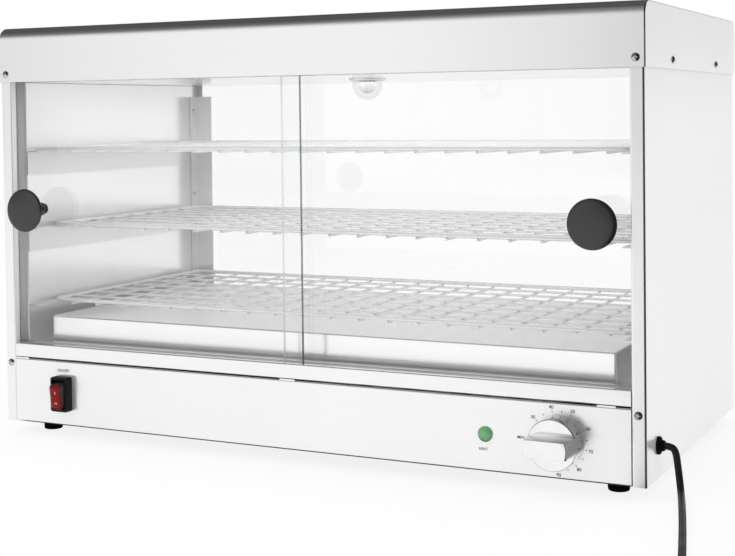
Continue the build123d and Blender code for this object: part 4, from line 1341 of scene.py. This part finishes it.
@dataclass
class Switch(Part):
    """The mains switch with its clear cover, its print, and the pilot lamp with its word.

    Sizes are in metres and degrees. The pins, the ring, the marks' height and the pilot's lens,
    which are turned, are in millimetres.
    """

    half_width: float = 0.0071
    half_height: float = 0.0137
    reach: float = 0.016
    depth: float = 0.002
    hollow: float = 0.0012
    rounding: float = 0.0032
    pin: float = 1.5
    pin_reach: float = 9.0
    wall: float = 0.0008
    gap: float = 0.0001
    tilt: float = 8.0
    label_rise: float = 0.0257
    word_drop: float = 0.0148
    label_size: float = 0.0046
    word_shift: float = -0.002
    word_size: float = 0.0038
    pilot_proud: float = 4.5
    pilot_ball: float = 12.0
    line_half: float = 0.0006
    line_ends: Pair = (0.0037, 0.0081)
    ring_place: float = -0.0078
    ring_radii: Pair = (1.3, 2.2)
    mark_proud: float = 0.1

    def build(self) -> None:
        """Dress the switch and make the lens and the words."""
        self.store.nodes("switch_black", "switch_surround", "switch_body", "pilot_body")
        x, _, z = middle_of("switch_surround")
        y = self.level.front
        seat = (Matrix.Translation((x, y, z))
                @ Matrix.Rotation(math.radians(self.tilt), 4, "X"))
        self.rocker(seat)
        self.boot(seat)
        label = lettering("ON/OFF", self.label_size, (x, y, z + self.label_rise))
        label.name = "switch_print"
        self.deliver(label, "print_black", "dark_plastic", "cabinet")
        low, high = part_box("pilot_lens")
        x, _, z = middle_of("pilot_lens")
        radius = (high[0] - low[0]) / 2 / MM
        profile = [(0.0, 0.0), (radius, 0.0), (radius, 1.2), (radius - 0.5, 1.8),
                   *Bench.arc((0.0, self.pilot_proud - self.pilot_ball), self.pilot_ball,
                              58.0, 90.0, 10)]
        lens = Bench.carry(Bench.turned("pilot_lamp_lens", profile, 64), (x, y, z), Facing.FRONT)
        self.deliver(lens, "pilot_green", "green_lens", "cabinet", "pilot_lens")
        word = lettering("HEAT", self.word_size, (x + self.word_shift, y, z - self.word_drop))
        word.name = "pilot_print"
        self.deliver(word, "print_black", "dark_plastic", "cabinet")

    def rocker(self, seat: Matrix) -> None:
        """The hollowed rocker on its pivot pins, and the marks on its face.

        Args:
            seat: where the rocker's pivot sits and how far it is tilted.
        """
        rocker = Bench.block("rocker_key", (-self.half_width, -self.reach, -self.half_height),
                             (self.half_width, self.depth, self.half_height), self.rounding, 6)
        chord = self.half_height - self.rounding
        drum = (chord ** 2 + self.hollow ** 2) / (2 * self.hollow)
        edge = drum / MM
        cutter = Bench.carry(Bench.turned("drum", self.roller(edge, 20.0), 240),
                             (0.0, self.hollow - self.reach - drum, 0.0), Facing.RIGHT)
        Bench.cut(rocker, cutter)
        pins = Bench.carry(Bench.turned("pins", self.roller(self.pin, self.pin_reach), 32),
                           (0.0, 0.0, 0.0), Facing.RIGHT)
        whole = Bench.joined("rocker_key", [rocker, pins])
        Bench.pick(whole)
        bpy.ops.object.shade_smooth_by_angle(angle=SMOOTH)
        self.deliver(Bench.put(whole, seat), "rocker_red", "red_plastic", "switch",
                     "switch_rocker")
        self.marks(seat, drum)

    @staticmethod
    def roller(radius: float, reach: float) -> list:
        """The profile of a plain cylinder to either side of the origin.

        Args:
            radius: its radius in millimetres.
            reach: half its length in millimetres.

        Returns:
            Radius and height of each corner.
        """
        return [(0.0, -reach), (radius, -reach), (radius, reach), (0.0, reach)]

    def marks(self, seat: Matrix, drum: float) -> None:
        """The line and the ring on the rocker's hollow face.

        Args:
            seat: where the rocker's pivot sits and how far it is tilted.
            drum: radius of the hollow in metres.
        """
        def face(z: float) -> float:
            """Depth of the hollow face at a height."""
            return self.hollow - self.reach - z * z / (2 * drum)

        bottom, top = self.line_ends
        middle = face((bottom + top) / 2)
        line = Bench.block("line", (-self.line_half, middle - 1.2 * self.mark_proud * MM, bottom),
                           (self.line_half, middle + 4 * self.mark_proud * MM, top),
                           self.mark_proud * MM, 2)
        inner, outer = self.ring_radii
        sunk = -4 * self.mark_proud
        ring = [(inner, sunk), (outer, sunk), (outer, self.mark_proud),
                (inner, self.mark_proud), (inner, sunk)]
        zero = Bench.carry(Bench.turned("ring", ring, 40),
                           (0.0, face(self.ring_place), self.ring_place), Facing.FRONT)
        marks = Bench.joined("rocker_marks", [line, zero])
        self.deliver(Bench.put(marks, seat), "print_white", "red_plastic", "switch")

    def boot(self, seat: Matrix) -> None:
        """The clear boot over the rocker: a rounded shell, open at the back.

        Args:
            seat: where the rocker's pivot sits and how far it is tilted.
        """
        outer = self.wall + self.gap

        def shell(name: str, grow: float, back: float) -> bpy.types.Object:
            """The rocker's block, grown by a distance and reaching back to a depth."""
            return Bench.block(name, (-self.half_width - grow, -self.reach - grow,
                                      -self.half_height - grow),
                               (self.half_width + grow, back, self.half_height + grow),
                               self.rounding + grow, 8)

        boot = shell("rocker_boot", outer, 3 * self.rounding)
        Bench.cut(boot, shell("inside", self.gap, 6 * self.rounding))
        Bench.cut(boot, Bench.block("rest", (-0.02, self.depth, -0.03), (0.02, 0.03, 0.03)))
        hole = self.pin + 0.05
        holes = Bench.turned("holes", [(0.0, -12.0), (hole, -12.0), (hole, 12.0), (0.0, 12.0)], 32)
        Bench.cut(boot, Bench.carry(holes, (0.0, 0.0, 0.0), Facing.RIGHT))
        Bench.pick(boot)
        bpy.ops.object.shade_smooth_by_angle(angle=SMOOTH)
        self.deliver(Bench.put(boot, seat), "boot_clear", "clear_boot", "switch", "switch_boot")


@dataclass
class Base(Part):
    """Feet and the hidden pieces of the base, in millimetres."""

    foot_reach: float = 11.5
    foot_wall: float = 11.4
    foot_height: float = 14.0
    foot_edge: float = 1.6
    sole: float = 8.8
    recess: float = 5.0
    recess_depth: float = 5.0

    def build(self) -> None:
        """Turn the feet and dress what stays."""
        low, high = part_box("feet")
        x = high[0] - self.foot_reach * MM
        y_front = low[1] + self.foot_reach * MM
        y_back = high[1] - self.foot_reach * MM
        profile = [(0.0, self.recess_depth), (self.recess, self.recess_depth),
                   (self.recess, 0.2), (self.recess + 0.3, 0.0), (self.sole, 0.0),
                   *Bench.arc((self.sole + 0.1, self.foot_edge), self.foot_edge, -90.0, 0.0, 5),
                   (self.foot_wall, self.foot_height - 0.4),
                   (self.foot_wall - 0.2, self.foot_height), (0.0, self.foot_height)]
        first = Bench.turned("rubber_feet", profile, 56)
        feet = [Bench.copy(first, f"foot_{count}", Matrix.Translation((sx * x, y, 0.0)))
                for count, (sx, y) in enumerate((s, y) for s in (-1, 1)
                                                for y in (y_front, y_back))]
        bpy.data.objects.remove(first, do_unlink=True)
        self.deliver(Bench.joined("rubber_feet", feet), "rubber_black", "black_rubber", "cabinet",
                     "feet")
        self.store.nodes("screw_steel", "foot_screws", "post_rivets")
        self.store.nodes("element_steel", "front_heating_element", "back_heating_element")
        self.store.nodes("hidden_steel", "element_supports")


@dataclass
class Lead(Part):
    """The mains lead: gland, one unbroken cord with its coil, and the plug.

    Sizes are in metres, and the route's points are given from the counter's front right corner.
    """

    diameter: float = 0.0068
    length: float = 1.80
    rest: float = 0.0035
    coil_radius: float = 0.0525
    coil_step: float = 0.0087
    coil_rise: float = 0.0081
    half_turns: int = 12
    climb: int = 6
    steps: int = 8
    tail_runs: int = 3
    tail_run: float = 0.011
    tail_turn: float = 8.0
    route: Tuple[Point, ...] = (
        (0.0066, 0.041, 0.0455),
        (0.0125, 0.041, 0.0455),
        (0.0169, 0.04105, 0.0416),
        (0.0186, 0.04115, 0.0300),
        (0.0206, 0.04135, 0.0130),
        (0.0236, 0.03335, 0.0035),
        (0.0285, 0.01495, 0.0035),
        (0.0357, -0.01315, 0.0035),
        (0.0456, -0.05295, 0.0035),
        (0.0556, -0.09475, 0.0035),
        (0.0654, -0.13665, 0.0035),
        (0.0750, -0.17855, 0.0035),
        (0.0841, -0.21955, 0.0035),
        (0.0910, -0.25185, 0.0035),
    )

    def build(self) -> None:
        """Make the cord's line and its gland, and dress the plug."""
        gland = self.gland()
        corner = Vector((self.level.half_width, self.level.front, 0.0))
        free = [corner + Vector(point) for point in self.route]
        points = free + self.coil(free[-1], free[-2])
        data = bpy.data.curves.new("mains_lead", "CURVE")
        data.dimensions = "3D"
        data.bevel_depth = self.diameter / 2
        data.bevel_resolution = 7
        data.use_fill_caps = True
        line = data.splines.new("NURBS")
        line.points.add(len(points) - 1)
        for spot, point in zip(line.points, points):
            spot.co = (*point, 1.0)
        line.order_u = 3
        line.use_endpoint_u = True
        line.resolution_u = 6
        cord = bpy.data.objects.new("mains_lead", data)
        bpy.context.collection.objects.link(cord)
        data.materials.append(self.store.made["cord_black"])
        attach(cord, "cabinet")
        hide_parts("power_cord", "cord_coil", "plug_lead")
        self.store.nodes("rubber_black", "mains_plug")
        self.store.nodes("pin_brass", "plug_pins")

    def gland(self) -> bpy.types.Object:
        """The strain relief on the right side wall.

        Returns:
            The gland.
        """
        low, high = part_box("cable_gland")
        inner = (self.level.half_width - low[0]) / MM
        nose = (high[0] - self.level.half_width) / MM
        profile = [(0.0, -inner), (4.2, -inner), (7.6, -2.0), (6.1, -2.0), (6.1, 0.0), (8.6, 0.0),
                   (8.6, 1.9), (8.3, 2.6), (7.6, 3.0), (6.6, 3.1), (5.6, 3.8), (4.9, nose),
                   (0.0, nose)]
        place = (self.level.half_width, *middle_of("cable_gland")[1:])
        gland = Bench.carry(Bench.turned("strain_relief", profile, 48), place, Facing.RIGHT)
        return self.deliver(gland, "rubber_black", "black_rubber", "cabinet", "cable_gland")

    def coil(self, start: Vector, before: Vector) -> list:
        """Points of the put-away length: in on the surface, up a layer, out, and on to the plug.

        Args:
            start: the free stretch's last point.
            before: the point before it.

        Returns:
            The control points that follow the route's last one.
        """
        along = (start - before).normalized()
        inward = Vector((along.y, -along.x, 0.0))
        here = start + along * self.diameter
        middle = here + inward * self.coil_radius
        points = [here - along * self.diameter * 0.4]
        heading, radius, height = along, self.coil_radius, 0.0
        swell = 1.0 / (0.75 + 0.25 * math.cos(math.pi / self.steps))
        for turn in range(self.half_turns):
            if turn == self.climb:
                height = self.coil_rise
            else:
                radius += self.coil_step / 2 * (1 if turn > self.climb else -1)
            side = -1 if turn % 2 else 1
            there = middle + inward * side * radius + Vector((0.0, 0.0, height))
            centre = (here + there) / 2
            arm = here - centre
            for step in range(self.steps):
                angle = math.pi * (step + 0.5) / self.steps
                spot = arm * math.cos(angle) + heading * arm.length * math.sin(angle)
                flat = Vector((spot.x, spot.y, 0.0)) * swell
                points.append(centre + Vector((flat.x, flat.y, spot.z)))
            here, heading = there, heading * -1
        points.append(here + heading * self.diameter * 0.6)
        spot = here + heading * self.diameter
        for _ in range(self.tail_runs):
            points.append(spot.copy())
            spot = spot + heading * self.tail_run
            heading = Matrix.Rotation(math.radians(self.tail_turn), 3, "Z") @ heading
        points.append(spot)
        return points


@dataclass
class Studio:
    """The floor, the world, the lamps and the camera of the photograph.

    What only mirrors see is given by stops, each an angle in degrees and its brightness: the
    ceiling's by the angle from the front over the top to the back, the walls' and the floor's by
    the angle round the counter.
    """

    place: Point = (0.7148, -1.4473, 0.3641)
    yaw: float = 26.073
    pitch: float = -1.430
    roll: float = -0.651
    lens: float = 69.08
    shift: float = -0.1776
    sight: float = 20.0
    room_light: float = 0.92
    floor_size: float = 12.0
    floor_drop: float = 0.0001
    floor_share: float = 0.86
    softbox_place: Point = (-1.3, -1.6, 1.8)
    softbox_aim: Point = (0.0, 0.0, 0.2)
    softbox_size: Pair = (1.6, 1.2)
    softbox_energy: float = 10.0
    glow_energy: float = 0.95
    glow_share: float = 0.9
    glow_drop: float = 0.004
    corner: Pair = (0.36, -0.175)
    # Painted shade under the counter, as mirrors see the floor: its half size, middle, soft edge
    # and tone.
    under_half: Pair = (0.36, 0.21)
    under_middle: float = 0.02
    under_edge: float = 0.015
    painted_shade_tone: float = 0.05
    ceiling_stops: Tuple[Pair, ...] = (
        (-180.0, 1.0), (9.0, 1.0), (15.0, 0.85), (22.0, 0.66), (32.0, 0.45),
        (42.0, 0.32), (60.0, 0.18), (92.0, 0.09), (140.0, 0.065), (158.0, 0.12), (164.0, 0.35),
        (170.0, 0.65), (177.0, 0.80), (180.0, 0.97))
    wall_stops: Tuple[Pair, ...] = (
        (-180.0, 0.60), (-131.0, 0.66), (-128.5, 0.80), (-125.5, 0.91), (-122.0, 0.99),
        (-117.0, 1.0), (-112.0, 0.92), (-109.0, 0.85), (-107.0, 0.78), (-105.0, 0.62),
        (-98.0, 0.35), (-88.0, 0.04), (34.0, 0.04), (44.0, 1.0), (180.0, 1.0))
    floor_stops: Tuple[Pair, ...] = (
        (-180.0, 1.0), (-104.0, 1.0), (-90.0, 0.04), (34.0, 0.04), (44.0, 1.0), (180.0, 1.0))

    def build(self) -> None:
        """Set up the camera, the light and the floor."""
        self.camera()
        self.world()
        self.floor()
        self.lamps()
        bpy.context.scene.view_settings.view_transform = "Standard"
        log.info("studio: camera, world, floor and lamps")

    def camera(self) -> None:
        """The camera where the photograph was taken from."""
        data = bpy.data.cameras.new("camera")
        data.lens = self.lens
        data.shift_y = self.shift
        data.clip_end = self.sight
        camera = bpy.data.objects.new("camera", data)
        bpy.context.collection.objects.link(camera)
        turn = (Matrix.Rotation(math.radians(self.yaw), 4, "Z")
                @ Matrix.Rotation(math.radians(90.0 + self.pitch), 4, "X")
                @ Matrix.Rotation(math.radians(self.roll), 4, "Z"))
        camera.matrix_world = Matrix.Translation(self.place) @ turn
        bpy.context.scene.camera = camera

    @staticmethod
    def tone(web: Web, rise: bpy.types.NodeSocket, run: bpy.types.NodeSocket,
             stops: Sequence[Pair]) -> bpy.types.NodeSocket:
        """Brightness by the angle of a rise over a run.

        Args:
            web: the tree to build in.
            rise: the part of the direction at 90 degrees.
            run: the part of the direction at 0 degrees.
            stops: angles in degrees and their brightness, in order, from -180 to 180.

        Returns:
            The brightness.
        """
        return web.ramp(web.math("ARCTAN2", rise, run), (-math.pi, math.pi),
                        [(math.radians(angle), tone) for angle, tone in stops])

    def world(self) -> None:
        """White to the camera and through glass; mirrors see a dark ceiling and right wing."""
        world = bpy.data.worlds.new("studio")
        bpy.context.scene.world = world
        web = Web(world, "World")
        path = web.add("LightPath").outputs
        way = web.parts(web.add("TexCoord").outputs["Generated"])
        forward = web.math("MULTIPLY", way["Y"], -1.0)
        seen = web.add("Background")
        web.link(web.math("MULTIPLY", self.tone(web, way["Z"], forward, self.ceiling_stops),
                          self.tone(web, way["Y"], way["X"], self.wall_stops)),
                 seen.inputs["Color"])
        room = web.add("Background", Color=(1, 1, 1, 1), Strength=self.room_light)
        white = web.add("Background", Color=(1, 1, 1, 1))
        lit = web.blend(path["Is Glossy Ray"], room.outputs["Background"],
                        seen.outputs["Background"])
        direct = web.math("MAXIMUM", path["Is Camera Ray"], path["Is Transmission Ray"])
        web.surface(web.blend(direct, lit, white.outputs["Background"]))

    def floor(self) -> None:
        """A floor that is white to the camera, mirrors and glass, and keeps a soft shadow."""
        Bench.clear()
        bpy.ops.mesh.primitive_plane_add(size=self.floor_size, location=(0, 0, -self.floor_drop))
        floor = bpy.context.object
        floor.name = "floor"
        web = Web(bpy.data.materials.new("floor_white"))
        path = web.add("LightPath").outputs
        spot = web.parts(web.add("TexCoord").outputs["Object"])
        across = web.math("SUBTRACT", spot["X"], self.corner[0])
        along = web.math("SUBTRACT", spot["Y"], self.corner[1])
        # Painted shade: mirrors see the floor dark under the counter, since to them the floor is
        # pure emission.
        seen = web.math("MULTIPLY", self.tone(web, along, across, self.floor_stops),
                        self.under_counter_painted_shade(web, spot))
        tone = web.add("Mix", A=1.0)
        web.link(path["Is Glossy Ray"], tone.inputs["Factor"])
        web.link(seen, tone.inputs["B"])
        glow = web.add("Emission")
        web.link(tone.outputs["Result"], glow.inputs["Strength"])
        diffuse = web.add("BsdfDiffuse", Color=(1, 1, 1, 1))
        direct = web.math("MULTIPLY", path["Is Camera Ray"], self.floor_share)
        second = web.math("MAXIMUM", path["Is Glossy Ray"], path["Is Transmission Ray"])
        web.surface(web.blend(web.math("MAXIMUM", direct, second), diffuse.outputs["BSDF"],
                              glow.outputs["Emission"]))
        floor.data.materials.append(web.owner)

    def under_counter_painted_shade(self, web: Web, spot: bpy.types.NodeOutputs) -> bpy.types.NodeSocket:
        """Brightness of the floor in mirrors, with painted shade: dark under the counter and full
        out from it.

        Args:
            web: the floor's tree.
            spot: X, Y and Z of a spot of the floor.

        Returns:
            The brightness.
        """
        across = web.math("SUBTRACT", web.math("ABSOLUTE", spot["X"]), self.under_half[0])
        middle = web.math("SUBTRACT", spot["Y"], self.under_middle)
        along = web.math("SUBTRACT", web.math("ABSOLUTE", middle), self.under_half[1])
        return web.fit(web.math("MAXIMUM", across, along), (0.0, self.under_edge),
                       (self.painted_shade_tone, 1.0))

    @staticmethod
    def lamp(name: str, size: Pair, energy: float, place: Sequence[float]) -> bpy.types.Object:
        """An area lamp that looks down and that mirrors don't show.

        Args:
            name: the lamp's name.
            size: its width and depth in metres.
            energy: its power in watts.
            place: where it hangs.

        Returns:
            The lamp.
        """
        data = bpy.data.lights.new(name, "AREA")
        data.shape = "RECTANGLE"
        data.size, data.size_y = size
        data.energy = energy
        lamp = bpy.data.objects.new(name, data)
        bpy.context.collection.objects.link(lamp)
        lamp.location = place
        lamp.visible_glossy = False
        return lamp

    def lamps(self) -> None:
        """A broad soft lamp above the front left and an even one under the counter's ceiling."""
        softbox = self.lamp("softbox", self.softbox_size, self.softbox_energy, self.softbox_place)
        aim = Vector(self.softbox_aim) - Vector(self.softbox_place)
        softbox.rotation_euler = aim.to_track_quat("-Z", "Y").to_euler()
        low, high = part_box("ceiling_panel")
        size = tuple((high[axis] - low[axis]) * self.glow_share for axis in (0, 1))
        middle = ((low[0] + high[0]) / 2, (low[1] + high[1]) / 2, low[2] - self.glow_drop)
        glow = self.lamp("ceiling_glow", size, self.glow_energy, middle)
        glow.visible_camera = glow.visible_transmission = False


def main() -> None:
    """Build and dress the counter, then set up the studio."""
    logging.basicConfig(level=logging.INFO, format="%(name)s %(message)s")
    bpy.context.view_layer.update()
    store, level = Store(), Level.read()
    Shell(store, level).build()
    Doors(store, level).build()
    for index, body in enumerate(("bottom_shelf", "centre_shelf", "top_shelf"), 1):
        Shelf(store, level, index, body).build()
    Lamp(store, level).build()
    Dial(store, level).build()
    Switch(store, level).build()
    Base(store, level).build()
    Lead(store, level).build()
    Studio().build()


if __name__ == "__main__":
    main()
